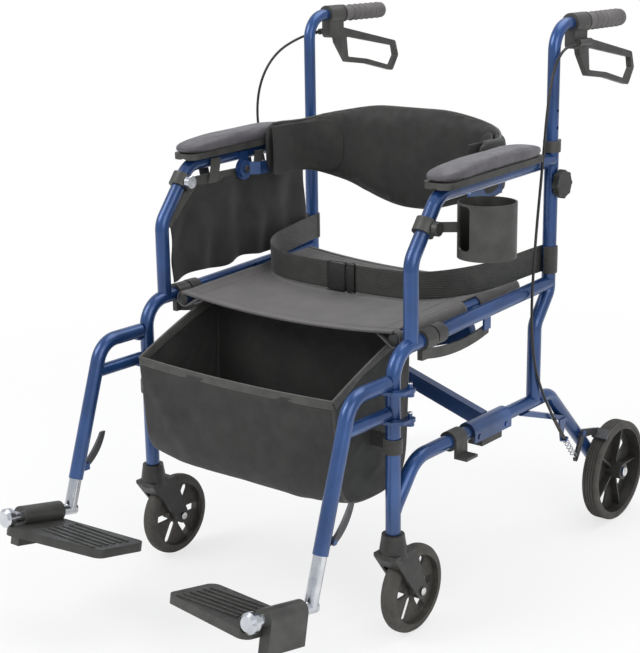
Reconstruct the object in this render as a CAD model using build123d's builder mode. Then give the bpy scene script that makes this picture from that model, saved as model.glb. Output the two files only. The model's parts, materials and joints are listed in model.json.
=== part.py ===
"""Rollator transport chair: side-folding frame, flip-over back, swing-away leg rests.

Millimetres. +Z is up, -Y is forward, towards the footplates, and +X is the seated
person's left. The origin is on the floor, midway between the two side frames and
midway between the caster stems and the rear axles.
"""
from build123d import *
from math import acos, atan, cos, hypot, pi, radians, sin, sqrt, tan
import os

os.makedirs("parts", exist_ok=True)

# Driving dimensions of the frame
half_width = 276.5
wheelbase = 703.0
tube_r = 12.7
tube_wall = 1.6
slide_gap = 0.05
run_gap = 0.05
face_gap = 0.4
plate_t = 4.0
over = 1.0

# Side frame, in its own Y-Z plane
leg_bottom_z = 194.0
seat_z = 501.0
seat_rise = 22.0
leg_bend_r = 48.0
upright_y = 130.5
upright_top_z = 765.0
upright_low_y = 85.5
crank_low_z = 452.0
crank_high_z = 508.0
crank_r = 28.0
rail_z = 307.0
rail_front_z = 232.0
rail_front_run = 62.0
rail_front_r = 60.0
rail_rear_y = 140.0
rail_rear_r = 42.0
arm_front_y = -302.0
arm_low_z = 640.0
arm_lean_y = -228.0
arm_front_z = 737.0
arm_rear_z = 748.0
arm_bend_r = 42.0
gusset_t = 3.0
gusset_low_z = 214.0
gusset_high_z = 292.0
strut_front_y = 25.0
strut_half_w = 11.0
strut_t = 5.0
strut_share = 0.32
stem_plug_h = 40.0
tab_len = 34.0
tab_w = 20.0

# Rear wheel
wheel_r = 100.0
tyre_w = 32.0
tyre_t = 11.0
tyre_round_r = 5.0
round_steps = 4
wheel_gap = 2.0
groove_count = 4
groove_w = 1.8
groove_d = 1.5
rim_t = 4.0
web_t = 5.0
spoke_count = 5
window_r = 60.0
window_len = 26.0
window_w = 24.0
spoke_depth_share = 0.6
hub_r = 16.0
hub_proud = 7.0
axle_r = 6.0
axle_head_r = 9.0
axle_head_t = 3.0
axle_boss_r = 15.0

# Front caster
caster_r = 77.0
caster_w = 28.0
caster_tyre_t = 13.0
caster_round_r = 12.0
caster_trail = 52.0
caster_slots = 6
caster_hub_r = 14.0
caster_axle_r = 4.0
caster_axle_head_r = 7.0
fork_gap = 2.5
fork_t = 6.0
fork_clear = 5.0
fork_eye_r = 14.0
fork_top_r = 19.0
fork_low_r = 25.0
fork_front = 24.0
fork_back = 34.0
stem_r = 8.0
stem_len = 34.0

# Handle post and grip
post_wall = 1.5
post_insert = 150.0
handle_z = 984.0
handle_bend_r = 45.0
grip_start_y = 233.5
grip_end_y = 368.5
grip_r = 15.5
grip_end_t = 4.0
grip_bead_r = 17.0
grip_bead_w = 6.0
height_hole_first_z = 805.0
height_hole_pitch = 30.0
height_hole_r = 3.2
height_holes = 2
collar_h = 20.0
collar_t = 3.2
collar_ear = 12.0
collar_ear_w = 9.0
knob_r = 26.0
knob_t = 13.0
knob_lobes = 8
knob_lobe_r = 5.0
knob_stud_r = 4.0
knob_boss_t = 4.0
knob_boss_r = 8.0
knob_z = 706.0

# Brake lever, cable and rear brake
housing_start_y = 184.0
housing_len = 44.0
housing_r = 17.5
housing_w = 21.0
housing_drop = 46.0
lever_t = 11.0
lever_bar = 10.5
lever_pin_r = 3.0
lever_pin_y = 212.0
lever_pin_drop = 36.0
lever_pin_z = handle_z - lever_pin_drop
lever_slot_gap = 0.5
lever_reach = 200.0
lever_front_drop = 62.0
lever_rear_top = 30.0
lever_rear_drop = 92.0
lever_round_r = 9.0
lever_lift = 5.0
cable_r = 2.5
bracket_gap = 0.5
cable_out = 17.0
cable_x = half_width + cable_out
cable_port_drop = 34.0
cable_port_z = handle_z - cable_port_drop
left_bow_drops = (25.0, 90.0)
right_bow_drops = (40.0, 130.0)
brake_pin_y = 247.0
brake_pin_r = 4.0
brake_arm_t = 5.0
brake_pivot_boss = 2.0
shoe_angle = 121.0
shoe_gap = 2.4
shoe_t = 4.0
shoe_len = 24.0
bell_y = 222.0
bell_z = 158.0
stop_y = 176.0
stop_z = 212.0
spring_coil_r = 5.0
spring_wire_r = 0.9
spring_turns = 5
bell_r = 6.0
spring_end_gap = 0.3
wire_r = 0.8
nipple_r = 3.0
sleeve_gap = 9.0
washer_t = 1.2
cable_last_run = 155.0

# Armrest
pad_len = 309.0
pad_w = 62.0
pad_out = 2.0
pad_round_r = 5.0
base_sink = 2.0
pad_t = 21.0
pad_front_y = -243.0
pad_crown = 5.0
pad_corner_r = 20.0
base_t = 11.0
base_inset = 3.0

# Cross brace
brace_y = -76.0
brace_h = 28.0
brace_d = 18.0
brace_wall = 2.0
brace_gap = 1.0
seat_tube_r = 11.0
seat_tube_inset = 40.0
seat_tube_lift = 0.0
seat_tube_rise = 42.0
saddle_len = 118.0
saddle_t = 3.0
saddle_skirt = 17.0
saddle_rivet_inset = 16.0
block_drop = 30.0
block_len = 64.0
liner_t = 2.0
pivot_r = 5.0
pivot_head_r = 9.0
pivot_head_t = 4.0
rivet_r = 5.0
rivet_h = 1.8
cradle_len = 30.0
cradle_t = 5.0
cradle_y = -262.0
cradle_tail = 34.0
cradle_gap = 0.3
link_sag = 12.0
link_t = 4.0
link_h = 18.0
clip_y = -176.0
clip_len = 34.0
clip_t = 5.0
clip_prong = 26.0

# Seat, back, belt, bag and pouch
seat_front_y = -296.0
seat_rear_y = 74.0
sling_t = 4.0
sling_sag = 14.0
cloth_gap = 0.3
hem_inset = 2.0
hem_rise = 3.0
back_pivot_y = -92.0
back_pivot_z = 713.0
disc_r = 21.0
disc_t = 5.0
back_arm_t = 4.0
back_arm_x = 240.5
back_hub_share = 0.7
back_side_gap = 1.6
back_arm_h = 24.0
back_arm_len = 110.0
back_plane_y = 96.0
back_bend_r = 110.0
back_end_y = -54.0
back_t = 22.0
back_top_z = 826.0
back_low_z = 634.0
wing_top_z = 768.0
wing_low_z = 656.0
back_shoulder_x = 196.0
belt_w = 50.0
belt_t = 2.4
belt_z = 566.0
belt_turn_x = 150.0
belt_turn_r = 110.0
belt_front_y = -126.0
belt_centre_z = 545.0
buckle_len = 64.0
buckle_w = 58.0
buckle_t = 12.0
bag_half_w = 218.0
bag_front_y = -431.0
bag_back_y = -222.0
bag_top_front_z = 422.0
bag_top_back_z = 494.0
bag_low_z = 236.0
bag_wall = 5.0
bag_corner_r = 62.0
bag_lean = 6.0
bag_sag = 8.0
bag_loop_z = 346.0
bag_loop_w = 26.0
bag_loop_y = -231.0
bag_band_z = 487.5
pouch_front_y = -286.0
pouch_rear_y = 96.0
pouch_low_z = 520.0
pouch_t = 4.0
pouch_rise = 8.0
pouch_top_front_z = 630.0
pouch_top_rear_z = 706.0
pouch_loop_shares = (0.3, 0.6, 0.9)
pouch_folds = 5
pouch_fold_d = 9.0

# Leg rest
leg_slope = 0.3373
leg_floor_y = -617.2
hanger_z = 454.0
hanger_gap = 3.0
hanger_front_gap = 2.0
hanger_bend_r = 46.0
hanger_low_z = 222.0
cross_z = 403.0
cross_r = 11.0
pin_out = 25.0
pin_back = 12.0
pin_r = 4.0
pin_head_r = 6.0
pin_tail = 9.0
lug_t = 7.0
hook_t = 6.0
hook_w = 12.0
hook_gap = 0.3
leg_wall = 1.6
leg_hole_pitch = 22.0
leg_hole_first = 31.0
leg_hole_r = 2.6
leg_tube_len = 190.0
leg_holes = 4
left_extension = 26.0
bar_z = 170.0
bar_pitch = 11.5
bar_r = 10.0
bar_len = 150.0
foot_house_r = 17.5
foot_house_drop = 52.0
foot_house_front = 114.0
foot_house_rear = 26.0
foot_reach = 196.0
foot_inner_rear = 4.0
foot_inner_front = 112.0
foot_outer_front = 152.0
foot_t = 15.0
foot_drop = 26.0
foot_rib_h = 1.6
foot_rib_w = 5.0
foot_ribs = 6
cap_r = 16.5
cap_len = 15.0
release_len = 52.0
release_t = 5.0
release_pin_r = 3.0
release_z = 236.0
release_out = 22.0

# Cup holder and arm clamps
cup_r = 48.0
cup_h = 90.0
cup_wall = 3.0
cup_z = 641.0
cup_y = -203.0
cup_gap_angle = 34.0
clamp_z = 690.0
arm_clamp_z = 710.0
cup_x = 355.0
cup_gap_turn = -20.0
clamp_w = 24.0
clamp_t = 6.0
small_knob_r = 12.0
small_knob_t = 10.0

# Places worked out from the sizes above
stem_y = -wheelbase / 2
axle_y = wheelbase / 2
bore_r = tube_r - tube_wall
post_r = bore_r - slide_gap
tube_side_x = half_width + tube_r

pieces = {}


def seat_height(y):
    """Height of the seat rail's centreline."""
    return seat_z + seat_rise * (y - stem_y) / (upright_y - stem_y)


def arm_height(y):
    """Height of the armrest tube's centreline along its level stretch."""
    return arm_front_z + (arm_rear_z - arm_front_z) * (y - arm_lean_y) / (upright_y - arm_lean_y)


def leg_line(z):
    """Fore-aft place of the leg rest's sloping centreline at a height."""
    return leg_floor_y + leg_slope * z


# Routes of the side frame's tubes, as Y-Z corners, each with its bend radii
leg_route = [(stem_y, leg_bottom_z), (stem_y, seat_z), (upright_y, seat_height(upright_y))]
arm_route = [(arm_front_y, seat_height(arm_front_y) + tube_r / 3), (arm_front_y, arm_low_z),
             (arm_lean_y, arm_front_z), (upright_y, arm_rear_z)]
upright_route = [(upright_low_y, rail_z), (upright_low_y, crank_low_z),
                 (upright_y, crank_high_z), (upright_y, upright_top_z)]
rail_route = [(stem_y, rail_front_z), (stem_y + rail_front_run, rail_z),
              (rail_rear_y, rail_z), (axle_y, wheel_r)]
frame_routes = [(leg_route, [leg_bend_r]), (arm_route, [arm_bend_r, arm_bend_r]),
                (upright_route, [crank_r, crank_r]), (rail_route, [rail_front_r, rail_rear_r])]

rear_fall = (rail_z - wheel_r) / (axle_y - rail_rear_y)
seat_tube_x = half_width - seat_tube_inset
seat_tube_z = seat_height(brace_y) + seat_tube_lift
arm_span = half_width + seat_tube_x
arm_climb = seat_tube_z - rail_z
brace_angle = acos(seat_tube_rise / hypot(arm_climb, arm_span)) - atan(arm_span / arm_climb)
arm_run = (arm_span + seat_tube_rise * sin(brace_angle)) / cos(brace_angle)
pivot_run = half_width / cos(brace_angle)
left_cable = [(cable_x, housing_start_y + housing_len / 3 - face_gap, cable_port_z),
              (cable_x, 150.0, cable_port_z), (cable_x, 108.0, cable_port_z - left_bow_drops[0]),
              (cable_x, 84.0, cable_port_z - left_bow_drops[1]),
              (cable_x, 72.0, 757.0), (cable_x, 50.0, 600.0), (cable_x, 42.0, 454.0)]
left_cable_radii = [40.0, 60.0, 60.0, 300.0, 300.0, 150.0, 300.0]
right_cable = [(cable_x, housing_start_y + housing_len / 3 - face_gap, cable_port_z),
               (cable_x, 140.0, cable_port_z), (320.0, 60.0, cable_port_z - right_bow_drops[0]),
               (350.0, 45.0, cable_port_z - right_bow_drops[1]),
               (330.0, 46.0, 700.0), (cable_x, 48.0, 560.0), (cable_x, 42.0, 454.0)]
right_cable_radii = [40.0, 60.0, 60.0, 150.0, 300.0, 150.0, 300.0]
pin_x = half_width + pin_out
pin_y = stem_y + pin_back
hook_levels = [hanger_z - tube_r - hook_t / 2, cross_z - cross_r - hook_t / 2]
wheel_x = tube_side_x + wheel_gap + tyre_w / 2
hanger_back_y = stem_y - tube_r - hanger_gap
disc_x = half_width - tube_r - disc_t
brake_pin_z = rail_z - rear_fall * (brake_pin_y - rail_rear_y)


def opposite(piece):
    """Mirror image of a piece on the other side of the chair."""
    images = [mirror(solid, about=Plane.YZ) for solid in piece.solids()]
    return images[0] if len(images) == 1 else Compound(children=images)


def keep(name, piece, side=0):
    """Keeps a piece by name; a right-hand piece is the mirror image of the left one."""
    if side == 0:
        pieces[name] = piece
    elif side > 0:
        pieces["left_" + name] = piece
    else:
        pieces["right_" + name] = opposite(piece)


def keep_pair(name, piece):
    """Keeps a piece and its mirror image on the other side of the chair."""
    keep(name, piece, 1)
    keep(name, piece, -1)


def rod(points, radii, r):
    """A round bar along straight runs joined by tangent arcs."""
    with BuildPart() as bar:
        with BuildLine() as route:
            if radii:
                FilletPolyline(*points, radius=radii)
            else:
                Line(*points)
        path = route.wires()[0]
        with BuildSketch(Plane(path @ 0, z_dir=path % 0)):
            Circle(r)
        sweep(path=path)
    return bar.part


def side_rod(points, radii, r, x=half_width):
    """A round bar whose route is given as Y-Z corners on a side plane."""
    return rod([(x, y, z) for y, z in points], radii, r)


def across(x, length, y, z, r):
    """A round bar along +X from x."""
    with BuildPart() as bar:
        with BuildSketch(Plane.YZ.offset(x)):
            with Locations((y, z)):
                Circle(r)
        extrude(amount=length)
    return bar.part


def upright_bar(z, length, x, y, r):
    """A round bar along +Z from z."""
    with BuildPart() as bar:
        with BuildSketch(Plane.XY.offset(z)):
            with Locations((x, y)):
                Circle(r)
        extrude(amount=length)
    return bar.part


def side_plate(x, thickness, points):
    """A flat plate in the Y-Z plane, from x outwards, with straight edges."""
    with BuildPart() as plate:
        with BuildSketch(Plane.YZ.offset(x)):
            with BuildLine():
                Polyline(*points, close=True)
            make_face()
        extrude(amount=thickness)
    return plate.part


def biarc(start, start_dir, end, end_dir):
    """Two arcs that join two points of a curve and share its directions there."""
    chord = end - start
    both = start_dir + end_dir
    spread = 2 * (1 - start_dir.dot(end_dir))
    reach = (sqrt(chord.dot(both) ** 2 + spread * chord.dot(chord)) - chord.dot(both)) / spread
    first = start + start_dir * reach
    second = end - end_dir * reach
    joint = (first + second) * 0.5
    for a, corner, b in ((start, first, joint), (joint, second, end)):
        middle = (a + b) * 0.5
        half_turn = atan((corner - middle).length / ((b - a).length / 2))
        rise = (b - a).length / 2 * tan(half_turn / 2)
        ThreePointArc(a, middle + (corner - middle).normalized() * rise, b)


def coil(base, along, across_dir, turns, length, coil_r, wire_r):
    """A spring: one unbroken wire on a helix about the line from base along a direction."""
    other = along.cross(across_dir)
    climb = length / (2 * pi * turns)

    def point(angle):
        spoke = across_dir * cos(angle) + other * sin(angle)
        return base + spoke * coil_r + along * (climb * angle)

    def heading(angle):
        return (other * cos(angle) * coil_r - across_dir * sin(angle) * coil_r
                + along * climb).normalized()

    with BuildPart() as spring:
        with BuildLine() as route:
            for half in range(2 * turns):
                biarc(point(half * pi), heading(half * pi),
                      point((half + 1) * pi), heading((half + 1) * pi))
        path = route.wires()[0]
        with BuildSketch(Plane(path @ 0, z_dir=path % 0)):
            Circle(wire_r)
        sweep(path=path, clean=False)
    print("spring: least gap between turns", round(length / turns - 2 * wire_r, 2))
    return spring.part


def side_frame():
    """Welded left side frame: four bent tubes, gussets, lugs, back disc and wheel boss."""
    lug_z = [level - hook_gap - lug_t for level in hook_levels]
    with BuildPart() as frame:
        for route, radii in frame_routes:
            add(side_rod(route, radii, tube_r))
        # gusset between the leg and the lower rail
        add(side_plate(half_width - gusset_t / 2, gusset_t,
                       [(stem_y, rail_front_z), (stem_y + rail_front_run, gusset_high_z),
                        (stem_y + tube_r + gusset_t, gusset_low_z), (stem_y, gusset_low_z)]))
        # flat strut under the lower rail's rear bend
        strut_y = rail_rear_y + strut_share * (axle_y - rail_rear_y)
        strut_z = rail_z - rear_fall * (strut_y - rail_rear_y)
        add(side_plate(half_width - strut_half_w, 2 * strut_half_w,
                       [(strut_front_y, rail_z - bore_r), (strut_y, strut_z - strut_t),
                        (strut_y, strut_z + strut_t), (strut_front_y + tab_len, rail_z - bore_r)]))
        # lugs for the leg rest's hinge pins
        for low in lug_z:
            with BuildSketch(Plane.XY.offset(low)):
                with Locations((pin_x, pin_y)):
                    Circle(pin_head_r + over)
                with BuildLine():
                    Polyline((half_width, stem_y - tube_r / 2), (pin_x, pin_y - pin_head_r - over),
                             (pin_x, pin_y + pin_head_r + over), (half_width, stem_y + tube_r),
                             close=True)
                make_face()
            extrude(amount=lug_t)
        # hanger plate and disc for the back
        add(across(disc_x, disc_t, back_pivot_y, back_pivot_z, disc_r))
        with BuildSketch(Plane.YZ.offset(disc_x)):
            with Locations((back_pivot_y, (back_pivot_z + arm_height(back_pivot_y)) / 2)):
                Rectangle(disc_r, arm_height(back_pivot_y) - back_pivot_z)
        extrude(amount=disc_t)
        with BuildSketch(Plane.YZ.offset(disc_x)):
            with Locations((back_pivot_y, arm_height(back_pivot_y))):
                Rectangle(disc_r, tube_r)
        extrude(amount=disc_t + tube_r / 2)
        # tab under the seat rail for the cradle's strap
        add(side_plate(half_width - plate_t / 2, plate_t,
                       [(brace_y - tab_w / 2, seat_height(brace_y) - tab_len),
                        (brace_y + tab_w / 2, seat_height(brace_y) - tab_len),
                        (brace_y + tab_w / 2, seat_height(brace_y)),
                        (brace_y - tab_w / 2, seat_height(brace_y))]))
        # boss for the height knob
        add(across(half_width, tube_r + knob_boss_t, upright_y, knob_z, knob_boss_r))
        # hollow of the tubes, open at the top of the upright
        for route, radii in frame_routes:
            add(side_rod(route, radii, bore_r), mode=Mode.SUBTRACT)
        # foot of the leg, bored for the caster's stem
        add(upright_bar(leg_bottom_z, stem_plug_h, half_width, stem_y, bore_r + tube_wall / 2))
        add(upright_bar(leg_bottom_z, stem_len + over, half_width, stem_y, stem_r + run_gap),
            mode=Mode.SUBTRACT)
        # threaded bore of the knob boss
        add(across(half_width, tube_r + knob_boss_t, upright_y, knob_z, knob_stud_r + run_gap),
            mode=Mode.SUBTRACT)
        # hinge pins of the leg rest
        for low in lug_z:
            add(upright_bar(low - over, lug_t + hook_gap + hook_t + pin_tail, pin_x, pin_y, pin_r))
        # back pivot pin with its head
        arm_in = disc_x - run_gap - back_arm_t
        add(across(arm_in - run_gap, disc_x - arm_in + over, back_pivot_y, back_pivot_z, rivet_r))
        add(across(arm_in - run_gap - rivet_h, rivet_h, back_pivot_y, back_pivot_z, rivet_r + rivet_h))
        # rear axle in its boss, with a nut head
        boss_end = tube_side_x + wheel_gap - face_gap
        add(across(half_width - axle_boss_r, boss_end - half_width + axle_boss_r,
                   axle_y, wheel_r, axle_boss_r))
        head_x = wheel_x + tyre_w / 2 + hub_proud + run_gap
        add(across(boss_end, head_x - boss_end, axle_y, wheel_r, axle_r))
        add(across(head_x, axle_head_t, axle_y, wheel_r, axle_head_r))
        # brake pin and cable stop
        add(across(tube_side_x - tube_wall, tube_wall + brake_pivot_boss, brake_pin_y, brake_pin_z,
                   brake_pin_r + brake_pivot_boss))
        pin_end = tube_side_x + brake_pivot_boss + run_gap + brake_arm_t + run_gap
        add(across(tube_side_x, pin_end - tube_side_x, brake_pin_y, brake_pin_z, brake_pin_r))
        add(across(pin_end, rivet_h, brake_pin_y, brake_pin_z, brake_pin_r + brake_pivot_boss))
        strut_slope = (strut_z - rail_z + bore_r) / (strut_y - strut_front_y)
        arm_z = rail_z - bore_r + strut_slope * (stop_y - strut_front_y)
        way = Vector(0, bell_y - stop_y, bell_z - stop_z).normalized()
        edge = Vector(0, -way.Z, way.Y)
        stop = Vector(0, stop_y, stop_z)
        corners = [stop + edge * tube_r, stop - edge * (cable_r + plate_t),
                   stop - edge * (cable_r + plate_t) + way * plate_t,
                   stop + edge * tube_r + way * plate_t]
        add(side_plate(cable_x - cable_r - bracket_gap - plate_t, plate_t,
                       [(stop_y - tube_r, arm_z), (corners[1].Y, corners[1].Z),
                        (corners[2].Y, corners[2].Z), (stop_y + 3 * plate_t, arm_z)]))
        add(side_plate(cable_x - cable_r - bracket_gap - plate_t, 2 * plate_t + 2 * cable_r,
                       [(stop_y - way.Z * cable_r * 2, stop_z + way.Y * cable_r * 2),
                        (stop_y + way.Z * cable_r * 2, stop_z - way.Y * cable_r * 2),
                        (stop_y + way.Z * cable_r * 2 + way.Y * plate_t,
                         stop_z - way.Y * cable_r * 2 + way.Z * plate_t),
                        (stop_y - way.Z * cable_r * 2 + way.Y * plate_t,
                         stop_z + way.Y * cable_r * 2 + way.Z * plate_t)]))
        ends = [Vector(cable_x, stop_y, stop_z) - way * over,
                Vector(cable_x, stop_y, stop_z) + way * (plate_t + over)]
        add(rod([tuple(end) for end in ends], [], wire_r + over), mode=Mode.SUBTRACT)
    return frame.part


def collar():
    """Black collar on the mouth of the upright, with its clamping ear."""
    with BuildPart() as ring:
        with BuildSketch(Plane.XY.offset(upright_top_z - collar_t)):
            with Locations((half_width, upright_y)):
                Circle(tube_r + collar_t)
            with Locations((half_width, upright_y + tube_r + collar_ear / 2)):
                Rectangle(collar_ear_w, collar_ear)
        extrude(amount=collar_h)
        add(upright_bar(upright_top_z - collar_t, collar_t, half_width, upright_y, tube_r),
            mode=Mode.SUBTRACT)
        add(upright_bar(upright_top_z - collar_t, collar_h + over, half_width, upright_y,
                        bore_r), mode=Mode.SUBTRACT)
    return ring.part


def height_knob():
    """Lobed clamp knob whose stud presses on the handle post."""
    start = tube_side_x + knob_boss_t + run_gap
    with BuildPart() as knob:
        with BuildSketch(Plane.YZ.offset(start)):
            with Locations((upright_y, knob_z)):
                Circle(knob_r - knob_lobe_r / 2)
                with PolarLocations(knob_r - knob_lobe_r, knob_lobes):
                    Circle(knob_lobe_r)
        extrude(amount=knob_t)
        chamfer(knob.faces().sort_by(Axis.X)[-1].edges(), knob_lobe_r / 4)
        add(across(half_width + post_r + run_gap, start - half_width - post_r, upright_y, knob_z,
                   knob_stud_r))
    return knob.part


def handle_post():
    """Inner tube that slides in the upright and bends back to the grip."""
    low = upright_top_z - post_insert
    route = [(upright_y, low), (upright_y, handle_z), (grip_end_y - grip_end_t, handle_z)]
    with BuildPart() as post:
        add(side_rod(route, [handle_bend_r], post_r))
        add(side_rod(route, [handle_bend_r], post_r - post_wall), mode=Mode.SUBTRACT)
        for step in range(height_holes):
            add(across(half_width, tube_r, upright_y, height_hole_first_z + step * height_hole_pitch,
                       height_hole_r), mode=Mode.SUBTRACT)
    return post.part


def hand_grip():
    """Ribbed rubber grip with a closed end."""
    length = grip_end_y - grip_start_y
    with BuildPart() as grip:
        with BuildSketch(Plane.YZ.offset(half_width)):
            with BuildLine():
                Polyline((grip_start_y, handle_z), (grip_start_y, handle_z + grip_bead_r),
                         (grip_start_y + grip_bead_w, handle_z + grip_bead_r),
                         (grip_start_y + 2 * grip_bead_w, handle_z + grip_r - over),
                         (grip_end_y - length / 3, handle_z + grip_r),
                         (grip_end_y - grip_end_t, handle_z + grip_r),
                         (grip_end_y, handle_z + grip_r - grip_end_t),
                         (grip_end_y, handle_z), close=True)
            make_face()
        revolve(axis=Axis((half_width, 0, handle_z), (0, 1, 0)))
        with BuildSketch(Plane.XZ.offset(-grip_start_y)):
            with Locations((half_width, handle_z)):
                Circle(post_r)
        extrude(amount=-(length - grip_end_t), mode=Mode.SUBTRACT)
    return grip.part


def brake_housing():
    """Clamp and slotted body that carry the brake lever and end the cable."""
    low = handle_z - housing_drop
    with BuildPart() as housing:
        with BuildSketch(Plane.XZ.offset(-housing_start_y)):
            with Locations((half_width, handle_z)):
                Circle(housing_r)
            with Locations((half_width, handle_z - housing_drop / 2)):
                Rectangle(housing_w, housing_drop)
            with Locations((cable_x, cable_port_z)):
                Circle(2 * cable_r + over)
            with Locations(((half_width + cable_x) / 2, cable_port_z)):
                Rectangle(cable_x - half_width, 2 * cable_r)
        extrude(amount=-housing_len)
        fillet(housing.edges().filter_by(Axis.X).group_by(Axis.Z)[0], lever_round_r)
        with BuildSketch(Plane.XZ.offset(-housing_start_y + over)):
            with Locations((half_width, handle_z)):
                Circle(post_r)
        extrude(amount=-housing_len - 2 * over, mode=Mode.SUBTRACT)
        # slot for the lever and its pin
        slot_w = lever_t + 2 * lever_slot_gap
        with BuildSketch(Plane.XZ.offset(-lever_pin_y + 2 * lever_round_r)):
            with Locations((half_width, low)):
                Rectangle(slot_w, 2 * (lever_pin_z - low + lever_round_r + lever_lift))
        extrude(amount=-housing_len, mode=Mode.SUBTRACT)
        add(across(half_width - housing_w / 2, housing_w, lever_pin_y, lever_pin_z, lever_pin_r))
        # blind port that ends the cable's sheath
        with BuildSketch(Plane.XZ.offset(-housing_start_y)):
            with Locations((cable_x, cable_port_z)):
                Circle(cable_r + run_gap)
        extrude(amount=-housing_len / 3, mode=Mode.SUBTRACT)
    return housing.part


def brake_lever():
    """Loop lever with an eye on the housing's pin and finger scallops."""
    top = lever_pin_z - lever_rear_top
    rear = lever_pin_y + lever_reach
    low = lever_pin_z - lever_rear_drop
    with BuildPart() as lever:
        with BuildSketch(Plane.YZ.offset(half_width - lever_t / 2)):
            with BuildLine():
                FilletPolyline((lever_pin_y - lever_round_r, lever_pin_z + lever_round_r),
                               (lever_pin_y + 2 * lever_round_r, lever_pin_z + lever_round_r),
                               (rear, top), (rear + lever_bar, (top + low) / 2),
                               (rear - lever_bar, low),
                               ((lever_pin_y + rear) / 2, low + 2 * lever_bar),
                               (lever_pin_y + 3 * lever_bar, lever_pin_z - lever_front_drop),
                               (lever_pin_y, lever_pin_z - 2 * lever_bar),
                               radius=lever_round_r - over, close=True)
            make_face()
            with BuildLine():
                FilletPolyline((lever_pin_y + 3 * lever_bar, lever_pin_z - lever_bar),
                               (rear - lever_bar / 2, top - lever_bar),
                               (rear, (top + low) / 2),
                               (rear - 3 * lever_bar / 2, low + lever_bar),
                               ((lever_pin_y + rear) / 2, low + 3 * lever_bar),
                               (lever_pin_y + 7 * lever_bar / 2,
                                lever_pin_z - lever_front_drop + lever_bar),
                               radius=lever_bar / 3, close=True)
            make_face(mode=Mode.SUBTRACT)
            with Locations((lever_pin_y, lever_pin_z)):
                Circle(lever_pin_r + run_gap, mode=Mode.SUBTRACT)
        extrude(amount=lever_t)
    return lever.part


def cable(points, radii):
    """Brake cable: a sheath from the housing to the frame's stop, and its inner wire."""
    rear_dir = Vector(0, bell_y - stop_y, bell_z - stop_z).normalized()
    stop = Vector(cable_x, stop_y, stop_z)
    bell = Vector(cable_x, bell_y, bell_z)
    route = points + [tuple(stop - rear_dir * cable_last_run), tuple(stop)]
    sheath = rod(route, radii, cable_r)
    print("brake cable: bend radii", radii)
    with BuildPart() as wire:
        add(rod([tuple(stop + rear_dir * over), tuple(bell)], [], wire_r))
        add(rod([tuple(bell - rear_dir * (sleeve_gap + washer_t)),
                 tuple(bell - rear_dir * sleeve_gap)], [], spring_coil_r + spring_wire_r))
        add(rod([tuple(bell - rear_dir * (sleeve_gap + washer_t)),
                 tuple(bell - rear_dir * (bell_r + 2 * over))], [], 2 * wire_r))
        add(across(cable_x - brake_arm_t / 2 - over, brake_arm_t + 2 * over, bell_y, bell_z, nipple_r))
    return Compound(children=[sheath, wire.part])


def brake_arm():
    """Bell-crank plate on the rear tube with the shoe that bears on the tyre."""
    start = tube_side_x + brake_pivot_boss + run_gap
    turn = radians(shoe_angle)
    rise = wheel_r + shoe_gap
    end_rise = rise + bell_r + over
    with BuildPart() as arm:
        with BuildSketch(Plane.YZ.offset(start)):
            with Locations((brake_pin_y, brake_pin_z)):
                Circle(bell_r + brake_pivot_boss)
            with Locations((bell_y, bell_z)):
                Circle(bell_r)
            make_hull()
        extrude(amount=brake_arm_t)
        with BuildSketch(Plane.YZ.offset(start)):
            with Locations((brake_pin_y, brake_pin_z)):
                Circle(bell_r + brake_pivot_boss)
            with Locations((axle_y + end_rise * cos(turn), wheel_r + end_rise * sin(turn))):
                Circle(bell_r)
            make_hull()
        extrude(amount=brake_arm_t)
        # shoe, square to the tyre
        foot = Vector(start, axle_y + rise * cos(turn), wheel_r + rise * sin(turn))
        with BuildSketch(Plane(foot, x_dir=(1, 0, 0), z_dir=(0, cos(turn), sin(turn)))):
            with Locations((tyre_w / 2, 0)):
                Rectangle(tyre_w, shoe_len)
        extrude(amount=shoe_t)
        # bore of the pivot, eye and slot for the cable's nipple
        add(across(start, brake_arm_t, brake_pin_y, brake_pin_z, brake_pin_r + run_gap),
            mode=Mode.SUBTRACT)
        add(across(start, brake_arm_t, bell_y, bell_z, nipple_r + run_gap), mode=Mode.SUBTRACT)
        way = Vector(0, stop_y - bell_y, stop_z - bell_z).normalized()
        slot_mid = Vector(start, bell_y, bell_z) + way * bell_r
        with BuildSketch(Plane(slot_mid, x_dir=tuple(way), z_dir=(1, 0, 0))):
            Rectangle(2 * bell_r, 2 * wire_r + over)
        extrude(amount=brake_arm_t, mode=Mode.SUBTRACT)
    return arm.part


def brake_spring():
    """Return spring round the wire, between the cable stop and the wire's washer."""
    along = Vector(0, bell_y - stop_y, bell_z - stop_z).normalized()
    start = Vector(cable_x, stop_y, stop_z) + along * (plate_t + spring_wire_r + spring_end_gap)
    end = Vector(cable_x, bell_y, bell_z) - along * (sleeve_gap + washer_t + spring_wire_r
                                                     + spring_end_gap)
    return coil(start, along, Vector(1, 0, 0), spring_turns, (end - start).length,
                spring_coil_r, spring_wire_r)


def pad_plane(rise):
    """Plane parallel to the armrest tube, at a height over its centreline."""
    middle = pad_front_y + pad_len / 2
    tilt = atan((arm_rear_z - arm_front_z) / (upright_y - arm_lean_y))
    up = Vector(0, -sin(tilt), cos(tilt))
    origin = Vector(half_width + pad_out, middle, arm_height(middle)) + up * rise
    return Plane(origin, x_dir=(1, 0, 0), z_dir=tuple(up))


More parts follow.
